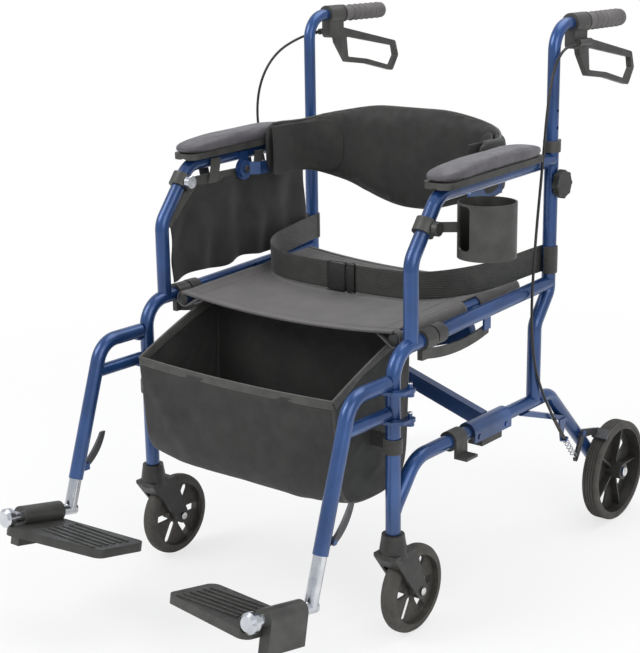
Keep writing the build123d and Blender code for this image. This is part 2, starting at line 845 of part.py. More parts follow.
def armrest_base():
    """Moulded base under the armrest pad, seated on the tube."""
    with BuildPart() as base:
        with BuildSketch(pad_plane(tube_r - base_sink)):
            RectangleRounded(pad_w - 2 * base_inset, pad_len - 2 * base_inset,
                             pad_corner_r - base_inset)
        extrude(amount=base_t)
        tube = [(y, arm_height(y)) for y in (pad_front_y - pad_t, pad_front_y + pad_len + pad_t)]
        add(side_rod(tube, [], tube_r), mode=Mode.SUBTRACT)
        add(side_rod(arm_route, [arm_bend_r, arm_bend_r], tube_r), mode=Mode.SUBTRACT)
    return base.part


def armrest_pad():
    """Upholstered armrest pad with a crowned top."""
    side_h = pad_t - pad_crown
    with BuildPart() as pad:
        plane = pad_plane(tube_r - base_sink + base_t)
        with BuildSketch(plane):
            RectangleRounded(pad_w, pad_len, pad_corner_r)
        extrude(amount=pad_t)
        front = Plane(plane.origin - plane.y_dir * (pad_len / 2 + over), x_dir=(1, 0, 0),
                      z_dir=tuple(plane.y_dir))
        with BuildSketch(front):
            with BuildLine():
                Line((pad_w / 2, 0), (pad_w / 2, -side_h))
                ThreePointArc((pad_w / 2, -side_h), (0, -pad_t), (-pad_w / 2, -side_h))
                Line((-pad_w / 2, -side_h), (-pad_w / 2, 0))
                Line((-pad_w / 2, 0), (pad_w / 2, 0))
            make_face()
        extrude(amount=pad_len + 2 * over, mode=Mode.INTERSECT)
        top = pad.faces().sort_by(Axis.Z)[-1]
        fillet(top.edges(), pad_round_r)
    return pad.part


def section_at(y):
    """X-Z plane at a fore-aft place, with +Y ahead of it and z up."""
    return Plane((0, y, 0), x_dir=(1, 0, 0), z_dir=(0, -1, 0))


def brace_arm(y, bolt_side):
    """Arm of the cross brace: saddle on the left rail, tube, riser and right seat tube."""
    saddle_r = tube_r + liner_t + saddle_t
    foot = (half_width, rail_z)
    along = (-cos(brace_angle), sin(brace_angle))
    up = (sin(brace_angle), cos(brace_angle))

    def place(run, rise):
        return (foot[0] + along[0] * run + up[0] * rise, foot[1] + along[1] * run + up[1] * rise)

    def box(run_a, run_b, rise_a, rise_b, depth=brace_d):
        with BuildPart() as length_of_tube:
            with BuildSketch(section_at(y + (brace_d + depth) / 2)):
                with BuildLine():
                    Polyline(place(run_a, rise_a), place(run_b, rise_a), place(run_b, rise_b),
                             place(run_a, rise_b), close=True)
                make_face()
            extrude(amount=depth)
        return length_of_tube.part

    tube_mid = Vector(-seat_tube_x, brace_y, seat_tube_z)
    slope = Vector(0, upright_y - stem_y, seat_rise).normalized()
    front = tube_mid + slope * (seat_front_y - brace_y + hem_inset)
    back = tube_mid + slope * (seat_rear_y - brace_y - hem_inset)
    with BuildPart() as arm:
        add(box(saddle_r, arm_run + seat_tube_r / 2, -brace_h / 2, brace_h / 2))
        add(box(saddle_r, arm_run + seat_tube_r / 2 - brace_wall, brace_wall - brace_h / 2,
                brace_h / 2 - brace_wall, brace_d - 2 * brace_wall), mode=Mode.SUBTRACT)
        add(box(pivot_run - pivot_head_r, pivot_run + pivot_head_r, -brace_h / 2, brace_h / 2))
        add(box(tube_r, saddle_r + brace_h / 2, -brace_h / 2, brace_h / 2))
        add(box(arm_run - seat_tube_r, arm_run + seat_tube_r, brace_h / 2 - brace_wall,
                seat_tube_rise - over))
        # saddle with its skirts
        with BuildSketch(section_at(brace_y + saddle_len / 2)):
            with Locations(foot):
                Circle(saddle_r)
            with Locations((foot[0], foot[1] - saddle_skirt / 2)):
                Rectangle(2 * saddle_r, saddle_skirt)
        extrude(amount=saddle_len)
        with BuildSketch(section_at(brace_y + saddle_len / 2)):
            with Locations(foot):
                Circle(tube_r + liner_t)
            with Locations((foot[0], foot[1] - block_drop)):
                Rectangle(2 * (tube_r + liner_t), 2 * block_drop)
        extrude(amount=saddle_len, mode=Mode.SUBTRACT)
        for shift in (saddle_rivet_inset - saddle_len / 2, saddle_len / 2 - saddle_rivet_inset):
            add(across(half_width + saddle_r, rivet_h, brace_y + shift,
                       rail_z - saddle_skirt / 2, rivet_r))
        # seat tube
        add(rod([tuple(front), tuple(back)], [], seat_tube_r))
        add(rod([tuple(front), tuple(back)], [], seat_tube_r - brace_wall),
            mode=Mode.SUBTRACT)
        with BuildSketch(section_at(y + brace_d)):
            with Locations(place(pivot_run, 0)):
                Circle(pivot_r + run_gap)
        extrude(amount=2 * brace_d, mode=Mode.SUBTRACT)
    if not bolt_side:
        return arm.part
    # pivot bolt through both arms
    reach = brace_gap / 2 + brace_d + run_gap
    with BuildPart() as bolt:
        with BuildSketch(section_at(brace_y + reach + pivot_head_t)):
            with Locations(place(pivot_run, 0)):
                Circle(pivot_r)
        extrude(amount=2 * (reach + pivot_head_t))
        for start in (brace_y + reach + pivot_head_t, brace_y - reach):
            with BuildSketch(section_at(start)):
                with Locations(place(pivot_run, 0)):
                    RegularPolygon(pivot_head_r, 6)
            extrude(amount=pivot_head_t)
    return Compound(children=[arm.part, bolt.part])


def bearing_block():
    """Plastic liner and block that turn on the left lower rail inside the saddle."""
    liner_r = tube_r + liner_t
    with BuildPart() as block:
        with BuildSketch(section_at(brace_y + saddle_len / 2 - over)):
            with Locations((half_width, rail_z)):
                Circle(liner_r)
        extrude(amount=saddle_len - 2 * over)
        with BuildSketch(section_at(brace_y + block_len / 2)):
            with Locations((half_width, rail_z - block_drop / 2)):
                Rectangle(2 * liner_r, block_drop)
        extrude(amount=block_len)
        add(side_rod([(brace_y - saddle_len, rail_z), (brace_y + saddle_len, rail_z)], [],
                     tube_r + run_gap), mode=Mode.SUBTRACT)
    return block.part


def seat_cradle():
    """Cradle on the seat rail that takes the seat tube, and the strap behind it."""
    rail_mid_z = seat_height(cradle_y)
    tube_z = seat_tube_z + (cradle_y - brace_y) * seat_rise / (upright_y - stem_y)
    cup_out_r = seat_tube_r + cradle_gap + cradle_t
    slope = seat_rise / (upright_y - stem_y)
    ends = [(cradle_y + shift, rail_mid_z + shift * slope) for shift in (-cradle_len, cradle_len)]
    with BuildPart() as cradle:
        with BuildSketch(section_at(cradle_y + cradle_len / 2)):
            with Locations((half_width, rail_mid_z)):
                Circle(tube_r + cradle_t)
            with Locations((seat_tube_x, tube_z)):
                Circle(cup_out_r)
            with Locations(((half_width + seat_tube_x) / 2, tube_z - cup_out_r / 2)):
                Rectangle(half_width - seat_tube_x, cup_out_r)
            with Locations((half_width, rail_mid_z - cradle_tail / 2)):
                Rectangle(2 * cradle_t, cradle_tail)
        extrude(amount=cradle_len)
        with BuildSketch(section_at(cradle_y + cradle_len / 2)):
            with Locations((seat_tube_x, tube_z + cup_out_r - over)):
                Rectangle(2 * (seat_tube_r + sling_t + 2 * over), 2 * cup_out_r)
        extrude(amount=cradle_len, mode=Mode.SUBTRACT)
        add(side_rod(ends, [], tube_r), mode=Mode.SUBTRACT)
        bed = [(y, z + tube_z - rail_mid_z) for y, z in ends]
        add(side_rod(bed, [], seat_tube_r + cradle_gap, seat_tube_x), mode=Mode.SUBTRACT)
        # strap to the tab behind the cradle
        strap_end_y = brace_y + tab_w / 2
        low_z = rail_mid_z - cradle_tail
        with BuildSketch(Plane.YZ.offset(half_width - plate_t / 2 - link_t)):
            with BuildLine():
                Line((cradle_y - cradle_t, low_z + link_h), (cradle_y - cradle_t, low_z))
                ThreePointArc((cradle_y - cradle_t, low_z),
                              ((cradle_y + strap_end_y) / 2, low_z - link_sag),
                              (strap_end_y, low_z))
                Line((strap_end_y, low_z), (strap_end_y, low_z + link_h))
                ThreePointArc((strap_end_y, low_z + link_h),
                              ((cradle_y + strap_end_y) / 2, low_z + link_h - link_sag),
                              (cradle_y - cradle_t, low_z + link_h))
            make_face()
        extrude(amount=link_t)
    return cradle.part


def seat_sling():
    """Seat sling: sagging sheet with a hem round each seat tube."""
    slope = Vector(0, upright_y - stem_y, seat_rise).normalized()
    middle = Vector(0, brace_y, seat_tube_z)
    hem_in = seat_tube_r + cloth_gap
    hem_out = hem_in + sling_t
    start = middle + slope * (seat_front_y - brace_y)
    length = seat_rear_y - seat_front_y
    with BuildPart() as sling:
        with BuildSketch(Plane(start, x_dir=(1, 0, 0), z_dir=tuple(slope))):
            with BuildLine():
                ThreePointArc((-seat_tube_x, -hem_out), (0, sling_sag - hem_out),
                              (seat_tube_x, -hem_out))
                Line((seat_tube_x, -hem_out), (seat_tube_x, -hem_in))
                ThreePointArc((seat_tube_x, -hem_in), (0, sling_sag - hem_in),
                              (-seat_tube_x, -hem_in))
                Line((-seat_tube_x, -hem_in), (-seat_tube_x, -hem_out))
            make_face()
            with Locations((-seat_tube_x, 0), (seat_tube_x, 0)):
                Circle(hem_out)
            with Locations((-seat_tube_x, 0), (seat_tube_x, 0)):
                Circle(hem_in, mode=Mode.SUBTRACT)
        extrude(amount=length)
        # gaps in the hems for the cradles and the risers of the brace
        for y, gap_len in ((cradle_y, cradle_len), (brace_y, 2 * (brace_d + brace_gap))):
            low = seat_tube_z + (y - brace_y) * seat_rise / (upright_y - stem_y)
            with BuildSketch(section_at(y + gap_len / 2 + cloth_gap)):
                for x in (-seat_tube_x, seat_tube_x):
                    with Locations((x, low - hem_out + hem_rise)):
                        Rectangle(2 * hem_out + 2 * over, 2 * hem_out)
            extrude(amount=gap_len + 2 * cloth_gap, mode=Mode.SUBTRACT)
    return sling.part


def storage_bag():
    """Under-seat bag: open shell with rounded lower corners, sagging front and webbing loops."""
    with BuildPart() as bag:
        for inset, mode in ((0, Mode.ADD), (bag_wall, Mode.SUBTRACT)):
            rise = 0 if inset == 0 else bag_wall + over
            front = bag_front_y + inset
            back = bag_back_y - inset
            low = bag_low_z + inset
            with BuildSketch(Plane.YZ.offset(inset - bag_half_w)):
                with BuildLine():
                    FilletPolyline((front, bag_top_front_z + rise), (front + bag_lean, low),
                                   (back - bag_lean, low), (back, bag_top_back_z + rise),
                                   radius=bag_corner_r - inset)
                    Line((back, bag_top_back_z + rise), (front, bag_top_front_z + rise))
                make_face()
            extrude(amount=2 * (bag_half_w - inset), mode=mode)
        # sagging front edge
        with BuildSketch(section_at(bag_front_y + bag_wall + over)):
            with BuildLine():
                ThreePointArc((-bag_half_w, bag_top_front_z), (0, bag_top_front_z - bag_sag),
                              (bag_half_w, bag_top_front_z))
                Line((bag_half_w, bag_top_front_z), (-bag_half_w, bag_top_front_z))
            make_face()
        extrude(amount=2 * bag_wall, mode=Mode.SUBTRACT)
        # webbing round the front legs and the seat rails
        leg_in = tube_r + cloth_gap
        rail_in = leg_in + over
        rail_loop_z = seat_height(bag_loop_y)
        band_x = (half_width + bag_half_w - bag_wall) / 2
        band_len = half_width - bag_half_w + bag_wall
        for side in (1, -1):
            with BuildSketch(Plane.XY.offset(bag_loop_z - bag_loop_w / 2)):
                with Locations((side * half_width, stem_y)):
                    Circle(leg_in + belt_t)
                with Locations((side * band_x, stem_y + leg_in + belt_t / 2)):
                    Rectangle(band_len, belt_t)
                with Locations((side * half_width, stem_y)):
                    Circle(leg_in, mode=Mode.SUBTRACT)
            extrude(amount=bag_loop_w)
            with BuildSketch(section_at(bag_loop_y + bag_loop_w / 2)):
                with Locations((side * half_width, rail_loop_z)):
                    Circle(rail_in + belt_t)
                with Locations((side * half_width, (rail_loop_z - rail_in + bag_band_z) / 2)):
                    Rectangle(belt_t, rail_loop_z - rail_in - bag_band_z)
                with Locations((side * band_x, bag_band_z)):
                    Rectangle(band_len, belt_t)
                with Locations((side * half_width, rail_loop_z)):
                    Circle(rail_in, mode=Mode.SUBTRACT)
            extrude(amount=bag_loop_w)
    return bag.part


def pad_band(outer, inner, low, height):
    """U-shaped upright band, open to the front, between two half widths in plan."""
    back = back_plane_y + back_t / 2
    with BuildPart() as band:
        for half, depth, r, mode in ((outer, back, back_bend_r, Mode.ADD),
                                     (inner, back - (outer - inner), back_bend_r - outer + inner,
                                      Mode.SUBTRACT)):
            with BuildSketch(Plane.XY.offset(low)):
                with BuildLine():
                    FilletPolyline((-half, back_end_y), (-half, depth), (half, depth),
                                   (half, back_end_y), radius=r)
                    Line((half, back_end_y), (-half, back_end_y))
                make_face()
            extrude(amount=height, mode=mode)
    return band.part


def backrest_pad():
    """Padded back, high in the middle and lower at its two wings."""
    outer = half_width + pad_out - pad_w / 2 - back_side_gap
    arm_low_z = back_pivot_z - back_arm_h / 2 - cloth_gap
    with BuildPart() as pad:
        add(pad_band(outer, outer - back_t, back_low_z, back_top_z - back_low_z))
        with BuildSketch(section_at(back_plane_y + back_t)):
            with BuildLine():
                FilletPolyline((-outer - over, wing_low_z), (-back_shoulder_x, back_low_z),
                               (back_shoulder_x, back_low_z), (outer + over, wing_low_z),
                               (outer + over, wing_top_z - back_t), (back_shoulder_x, wing_top_z),
                               (back_shoulder_x - back_t, back_top_z),
                               (back_t - back_shoulder_x, back_top_z),
                               (-back_shoulder_x, wing_top_z), (-outer - over, wing_top_z - back_t),
                               radius=back_t / 2, close=True)
            make_face()
        extrude(amount=2 * back_t + back_plane_y - back_end_y, mode=Mode.INTERSECT)
        # pockets for the two arms
        for side in (1, -1):
            with BuildSketch(Plane.XY.offset(arm_low_z)):
                with Locations((side * (back_arm_x + back_arm_t / 2),
                                back_pivot_y + back_arm_len / 2 + cloth_gap)):
                    Rectangle(back_arm_t + 2 * cloth_gap, back_arm_len)
            extrude(amount=back_arm_h + 2 * cloth_gap, mode=Mode.SUBTRACT)
    return pad.part


def backrest_arm():
    """Flat arm from the disc on the frame, joggled inwards and into the pad's pocket."""
    hub_x = disc_x - run_gap - back_arm_t
    first = back_pivot_y + back_arm_h / 2
    second = first + hub_x - back_arm_x
    end = back_pivot_y + back_arm_len
    with BuildPart() as arm:
        with BuildSketch(Plane.XY.offset(back_pivot_z - back_arm_h / 2)):
            with BuildLine():
                Polyline((hub_x, back_pivot_y), (hub_x + back_arm_t, back_pivot_y),
                         (hub_x + back_arm_t, first + back_arm_t / 2),
                         (back_arm_x + back_arm_t, second + back_arm_t / 2),
                         (back_arm_x + back_arm_t, end), (back_arm_x, end),
                         (back_arm_x, second - back_arm_t / 2), (hub_x, first - back_arm_t / 2),
                         close=True)
            make_face()
        extrude(amount=back_arm_h)
        add(across(hub_x, back_arm_t, back_pivot_y, back_pivot_z, back_arm_h * back_hub_share))
        add(across(hub_x, back_arm_t, back_pivot_y, back_pivot_z, rivet_r + run_gap),
            mode=Mode.SUBTRACT)
    return arm.part


def seat_belt():
    """Webbing from one upright round to the other, with a loop on each."""
    reach = half_width - tube_r
    loop_in = tube_r + cloth_gap
    with BuildPart() as belt:
        with BuildSketch(Plane.XY.offset(belt_centre_z - belt_w)):
            with BuildLine():
                FilletPolyline((-reach, upright_y), (-belt_turn_x, belt_front_y),
                               (belt_turn_x, belt_front_y), (reach, upright_y), radius=belt_turn_r)
                Line((reach, upright_y), (reach - belt_t, upright_y))
                FilletPolyline((reach - belt_t, upright_y), (belt_turn_x - belt_t, belt_front_y + belt_t),
                               (belt_t - belt_turn_x, belt_front_y + belt_t),
                               (belt_t - reach, upright_y), radius=belt_turn_r - belt_t)
                Line((belt_t - reach, upright_y), (-reach, upright_y))
            make_face()
        extrude(amount=2 * belt_w)
        with BuildSketch(section_at(upright_y)):
            with BuildLine():
                Polyline((-half_width, belt_z - belt_w / 2), (-buckle_len, belt_centre_z - belt_w / 2),
                         (buckle_len, belt_centre_z - belt_w / 2), (half_width, belt_z - belt_w / 2),
                         (half_width, belt_z + belt_w / 2), (buckle_len, belt_centre_z + belt_w / 2),
                         (-buckle_len, belt_centre_z + belt_w / 2),
                         (-half_width, belt_z + belt_w / 2), close=True)
            make_face()
        extrude(amount=upright_y - 2 * belt_front_y, mode=Mode.INTERSECT)
    shapes = [belt.part]
    for side in (1, -1):
        with BuildPart() as loop:
            with BuildSketch(Plane.XY.offset(belt_z - belt_w / 2)):
                with Locations((side * half_width, upright_y)):
                    Circle(loop_in + belt_t)
                    Circle(loop_in, mode=Mode.SUBTRACT)
            extrude(amount=belt_w)
        shapes.append(loop.part)
    return Compound(children=shapes)


def belt_buckle():
    """Two-part plastic buckle round the belt, with a slot for the webbing."""
    with BuildPart() as buckle:
        with BuildSketch(section_at(belt_front_y + buckle_t / 2)):
            with Locations((0, belt_centre_z)):
                RectangleRounded(buckle_len, buckle_w, buckle_t / 2)
        extrude(amount=buckle_t)
        with BuildSketch(section_at(belt_front_y - buckle_t / 2 + over)):
            with Locations((0, belt_centre_z)):
                RectangleRounded(buckle_len / 2, buckle_w / 2, buckle_t / 4)
        extrude(amount=2 * over)
        with BuildSketch(section_at(belt_front_y + 2 * belt_t)):
            with Locations((0, belt_centre_z)):
                Rectangle(2 * buckle_len, belt_w + belt_t)
        extrude(amount=4 * belt_t, mode=Mode.SUBTRACT)
    return buckle.part


def side_pouch():
    """Cloth panel hung in the right side frame's opening, with standing folds."""
    length = pouch_rear_y - pouch_front_y
    count = 2 * pouch_folds
    front_line = []
    back_line = []
    for step in range(count + 1):
        y = pouch_front_y + length * step / count
        swing = pouch_fold_d / 2 * (-1) ** step
        front_line.append((-half_width + swing, y))
        back_line.append((-half_width + swing + pouch_t, y))
    with BuildPart() as pouch:
        with BuildSketch(Plane.XY.offset(pouch_low_z)):
            with BuildLine():
                Spline(*front_line)
                Line(front_line[-1], back_line[-1])
                Spline(*back_line)
                Line(back_line[0], front_line[0])
            make_face()
        extrude(amount=arm_rear_z - pouch_low_z)
        with BuildSketch(Plane.YZ.offset(-half_width - pouch_fold_d - pouch_t)):
            with BuildLine():
                FilletPolyline((pouch_front_y, pouch_low_z + pouch_rise),
                               (pouch_rear_y, pouch_low_z + 2 * pouch_rise),
                               (pouch_rear_y, pouch_top_rear_z),
                               (arm_lean_y + tube_r, pouch_top_rear_z),
                               (pouch_front_y, pouch_top_front_z), radius=pouch_t, close=True)
            make_face()
        extrude(amount=2 * (pouch_fold_d + 2 * pouch_t), mode=Mode.INTERSECT)
    shapes = [pouch.part]
    loop_in = tube_r + cloth_gap + over
    for share in pouch_loop_shares:
        y = pouch_front_y + length * share
        with BuildPart() as loop:
            with BuildSketch(section_at(y + bag_loop_w / 2)):
                with Locations((-half_width, arm_height(y))):
                    Circle(loop_in + belt_t)
                with Locations((-half_width, (arm_height(y) + pouch_top_rear_z) / 2 - loop_in)):
                    Rectangle(belt_t, arm_height(y) - pouch_top_rear_z)
                with Locations((-half_width, arm_height(y))):
                    Circle(loop_in, mode=Mode.SUBTRACT)
                with Locations((-half_width, arm_height(y) + loop_in)):
                    Rectangle(4 * loop_in, 2 * loop_in, mode=Mode.SUBTRACT)
            extrude(amount=bag_loop_w)
        shapes.append(loop.part)
    return Compound(children=shapes)


def caster_fork():
    """Caster fork: conical head with its stem, crown and two cheeks, with the axle bolt."""
    inner_half = caster_w / 2 + fork_gap
    axle_at_y = stem_y + caster_trail
    crown_z = caster_r + caster_r + fork_clear
    head_z = leg_bottom_z - over
    with BuildPart() as fork:
        with BuildSketch(Plane.YZ.offset(half_width - inner_half - fork_t)):
            with Locations((axle_at_y, caster_r)):
                Circle(fork_eye_r)
            with Locations((stem_y + (fork_back - fork_front) / 2, crown_z)):
                Rectangle(fork_front + fork_back, fork_t)
            make_hull()
        extrude(amount=2 * (inner_half + fork_t))
        with BuildSketch(Plane.XY.offset(crown_z - fork_t)):
            with Locations((half_width, stem_y)):
                Circle(fork_low_r)
        with BuildSketch(Plane.XY.offset(head_z)):
            with Locations((half_width, stem_y)):
                Circle(fork_top_r)
        loft()
        add(across(half_width - inner_half, 2 * inner_half, axle_at_y, caster_r,
                   caster_r + fork_clear), mode=Mode.SUBTRACT)
        with BuildSketch(Plane.YZ.offset(half_width - inner_half)):
            with Locations((axle_at_y, 0)):
                Rectangle(2 * (caster_r + fork_clear), 2 * caster_r)
        extrude(amount=2 * inner_half, mode=Mode.SUBTRACT)
        add(upright_bar(head_z - over, stem_len + over, half_width, stem_y, stem_r))
        bolt_x = half_width - inner_half - fork_t - rivet_h
        add(across(bolt_x, 2 * (inner_half + fork_t + rivet_h), axle_at_y, caster_r, caster_axle_r))
        for start in (bolt_x, half_width + inner_half + fork_t):
            add(across(start, rivet_h, axle_at_y, caster_r, caster_axle_head_r))
    return fork.part


def spin(points, x, y, z):
    """Solid of revolution about an axis along +X: (radius, distance along X) corners."""
    with BuildPart() as body:
        with BuildSketch(Plane((x, y, z), x_dir=(0, 0, 1), z_dir=(0, -1, 0))):
            with BuildLine():
                Polyline(*[(r, -run) for r, run in points], close=True)
            make_face()
        revolve(axis=Axis((x, y, z), (1, 0, 0)))
    return body.part


def tyre_section(outer_r, thick, width, round_r, grooves):
    """Half section of a tyre as (radius, run) corners, with rounded shoulders and grooves."""
    half = width / 2
    shoulder = []
    for step in range(round_steps + 1):
        turn = pi / 2 * step / round_steps
        shoulder.append((outer_r - round_r + round_r * sin(turn), half - round_r + round_r * cos(turn)))
    flat = width - 2 * round_r
    points = [(outer_r - thick, -half)] + [(r, -run) for r, run in shoulder]
    for step in range(grooves):
        middle = -flat / 2 + flat * (step + 0.5) / grooves
        points += [(outer_r, middle - groove_w / 2), (outer_r - groove_d, middle - groove_w / 2),
                   (outer_r - groove_d, middle + groove_w / 2), (outer_r, middle + groove_w / 2)]
    points += shoulder[::-1]
    points.append((outer_r - thick, half))
    return points


def caster_wheel():
    """Caster wheel: slotted hub with a tyre moulded on it."""
    y = stem_y + caster_trail
    rim = caster_r - caster_tyre_t
    half = caster_w / 2
    rim_in = rim - rim_t
    slot_r = (rim_in + caster_hub_r) / 2
    with BuildPart() as hub:
        add(spin([(caster_axle_r + run_gap, -half), (caster_hub_r, -half), (caster_hub_r, -web_t / 2),
                  (rim_in, -web_t / 2), (rim_in, -half), (rim, -half), (rim, half), (rim_in, half),
                  (rim_in, web_t / 2), (caster_hub_r, web_t / 2), (caster_hub_r, half),
                  (caster_axle_r + run_gap, half)], half_width, y, caster_r))
        with BuildSketch(Plane.YZ.offset(half_width - web_t)):
            with Locations((y, caster_r)):
                with PolarLocations(slot_r, caster_slots):
                    SlotOverall(rim_in - caster_hub_r - rim_t, caster_hub_r)
        extrude(amount=2 * web_t, mode=Mode.SUBTRACT)
    tyre = spin(tyre_section(caster_r, caster_tyre_t, caster_w, caster_round_r, 0), half_width, y, caster_r)
    return Compound(children=[hub.part, tyre])


def rear_wheel():
    """Rear wheel: rim, hub, and a web with five windows and ribs in a deep dish."""
    rim = wheel_r - tyre_t
    rim_in = rim - rim_t
    half = tyre_w / 2
    bore = axle_r + run_gap
    hub_out = half + hub_proud
    with BuildPart() as wheel:
        add(spin([(bore, -half + over), (hub_r, -half + over), (hub_r, hub_out), (bore, hub_out)],
                 wheel_x, axle_y, wheel_r))
        add(spin([(rim_in, -half + over), (rim, -half + over), (rim, half - over),
                  (rim_in, half - over)], wheel_x, axle_y, wheel_r))
        with BuildSketch(Plane.YZ.offset(wheel_x - half + over)):
            with Locations((axle_y, wheel_r)):
                Circle(rim_in + over)
                with PolarLocations(window_r, spoke_count, start_angle=180 / spoke_count):
                    RectangleRounded(window_len, window_w, rim_t, mode=Mode.SUBTRACT)
        extrude(amount=web_t)
        with BuildSketch(Plane.YZ.offset(wheel_x - half + over)):
            with Locations((axle_y, wheel_r)):
                with PolarLocations(0, spoke_count):
                    with Locations(((hub_r + rim_in) / 2, 0)):
                        Rectangle(rim_in - hub_r + rim_t, rim_t)
        extrude(amount=tyre_w * spoke_depth_share)
        add(across(wheel_x - half, tyre_w + 2 * hub_proud, axle_y, wheel_r, bore), mode=Mode.SUBTRACT)
    return wheel.part


def hook_plate(z):
    """Hook of the leg rest round the leg's outer side, with its eye for the pin."""
    tube_end = hanger_back_y - hook_w
    with BuildPart() as hook:
        with BuildSketch(Plane.XY.offset(z)):
            with BuildLine():
                Polyline((half_width - hook_w / 2, tube_end), (half_width - hook_w / 2, hanger_back_y),
                         (half_width + hook_w, hanger_back_y + over),
                         (pin_x - hook_w / 2, stem_y), (pin_x - hook_w / 2, pin_y),
                         (pin_x + hook_w / 2 + over, pin_y), (pin_x + hook_w / 2, stem_y - hook_w),
                         (half_width + 3 * hook_w / 2, tube_end), close=True)
            make_face()
            with Locations((pin_x, pin_y)):
                Circle(pin_r + hook_t - over)
            with Locations((pin_x, pin_y)):
                Circle(pin_r + run_gap, mode=Mode.SUBTRACT)
        extrude(amount=hook_t)
    return hook.part


def leg_hanger():
    """Swing-away leg rest tube with its lower cross tube, hooks and adjusting holes."""
    route = [(hanger_back_y - hanger_front_gap, hanger_z), (leg_line(hanger_z), hanger_z),
             (leg_line(hanger_low_z), hanger_low_z)]
    lower = [(hanger_back_y - hanger_front_gap, cross_z), (leg_line(cross_z), cross_z)]
    with BuildPart() as hanger:
        add(side_rod(route, [hanger_bend_r], tube_r))
        add(side_rod(lower, [], cross_r))
        for z in hook_levels:
            add(hook_plate(z))
        # ear of the release lever
        ear_y = leg_line(release_z) + release_out
        with BuildSketch(Plane.YZ.offset(half_width - release_t / 2)):
            with Locations((ear_y - release_out / 2, release_z)):
                Rectangle(release_out + 4 * release_pin_r, 4 * release_pin_r)
        extrude(amount=release_t)
        add(side_rod(route, [hanger_bend_r], bore_r), mode=Mode.SUBTRACT)
        for step in range(leg_holes):
            z = hanger_low_z + leg_hole_first + step * leg_hole_pitch
            with BuildSketch(Plane.XZ.offset(-leg_line(z))):
                with Locations((half_width, z)):
                    Circle(leg_hole_r)
            extrude(amount=-2 * tube_r, mode=Mode.SUBTRACT)
        # pin of the release lever
        add(across(half_width + release_t / 2, release_t + 2 * run_gap, ear_y, release_z,
                   release_pin_r))
        add(across(half_width + 3 * release_t / 2 + 2 * run_gap, rivet_h, ear_y, release_z,
                   release_pin_r + rivet_h))
    return hanger.part


def release_lever():
    """Curved finger lever that frees the leg rest's length lock."""
    pin = leg_line(release_z) + release_out
    with BuildPart() as lever:
        with BuildSketch(Plane.YZ.offset(half_width + release_t / 2 + run_gap)):
            with BuildLine():
                ThreePointArc((pin, release_z - 2 * release_pin_r),
                              (pin + release_len / 2, release_z + release_len / 5),
                              (pin + release_len, release_z + release_len))
                Line((pin + release_len, release_z + release_len),
                     (pin + release_len - 2 * release_t, release_z + release_len))
                ThreePointArc((pin + release_len - 2 * release_t, release_z + release_len),
                              (pin + release_len / 3, release_z + release_len / 2.5),
                              (pin, release_z + 2 * release_pin_r))
                Line((pin, release_z + 2 * release_pin_r), (pin, release_z - 2 * release_pin_r))
            make_face()
            with Locations((pin, release_z)):
                Circle(2 * release_pin_r)
            with Locations((pin, release_z)):
                Circle(release_pin_r + run_gap, mode=Mode.SUBTRACT)
        extrude(amount=release_t)
    return lever.part


bar_dir = Vector(0, -cos(radians(bar_pitch)), sin(radians(bar_pitch)))
bar_up = Vector(0, sin(radians(bar_pitch)), cos(radians(bar_pitch)))


def bar_plane(base, forward, rise=0):
    """Plane square to the footrest bar, some way along it; x is outboard and y is up."""
    return Plane(base + bar_dir * forward + bar_up * rise, x_dir=(-1, 0, 0),
                 z_dir=tuple(bar_dir))


def bar_base(extension):
    """Corner where the leg tube's line meets the footrest bar's."""
    low_z = bar_z - extension
    return Vector(half_width, leg_line(low_z), low_z)


def leg_tube(extension):
    """Sliding leg tube with the footrest bar and its mushroom end cap."""
    base = bar_base(extension)
    top_z = base.Z + leg_tube_len
    top = Vector(half_width, leg_line(top_z), top_z)
    end = base + bar_dir * bar_len
    with BuildPart() as tube:
        add(rod([tuple(top), tuple(base)], [], post_r))
        add(rod([tuple(top), tuple(base + (top - base).normalized() * tube_r)], [],
                post_r - leg_wall), mode=Mode.SUBTRACT)
        with BuildSketch(bar_plane(base, -post_r)):
            Circle(bar_r)
        extrude(amount=bar_len + post_r)
        fillet(tube.edges().filter_by(GeomType.CIRCLE).sort_by(Axis.Y)[0], over)
    with BuildPart() as cap:
        with BuildSketch(bar_plane(base, bar_len - cap_len + over)):
            Circle(cap_r)
        extrude(amount=cap_len)
        chamfer(cap.faces().sort_by(Axis.Y)[0].edges(), cap_len / 3)
        with BuildSketch(bar_plane(base, 0)):
            Circle(bar_r)
        extrude(amount=bar_len, mode=Mode.SUBTRACT)
    return Compound(children=[tube.part, cap.part])


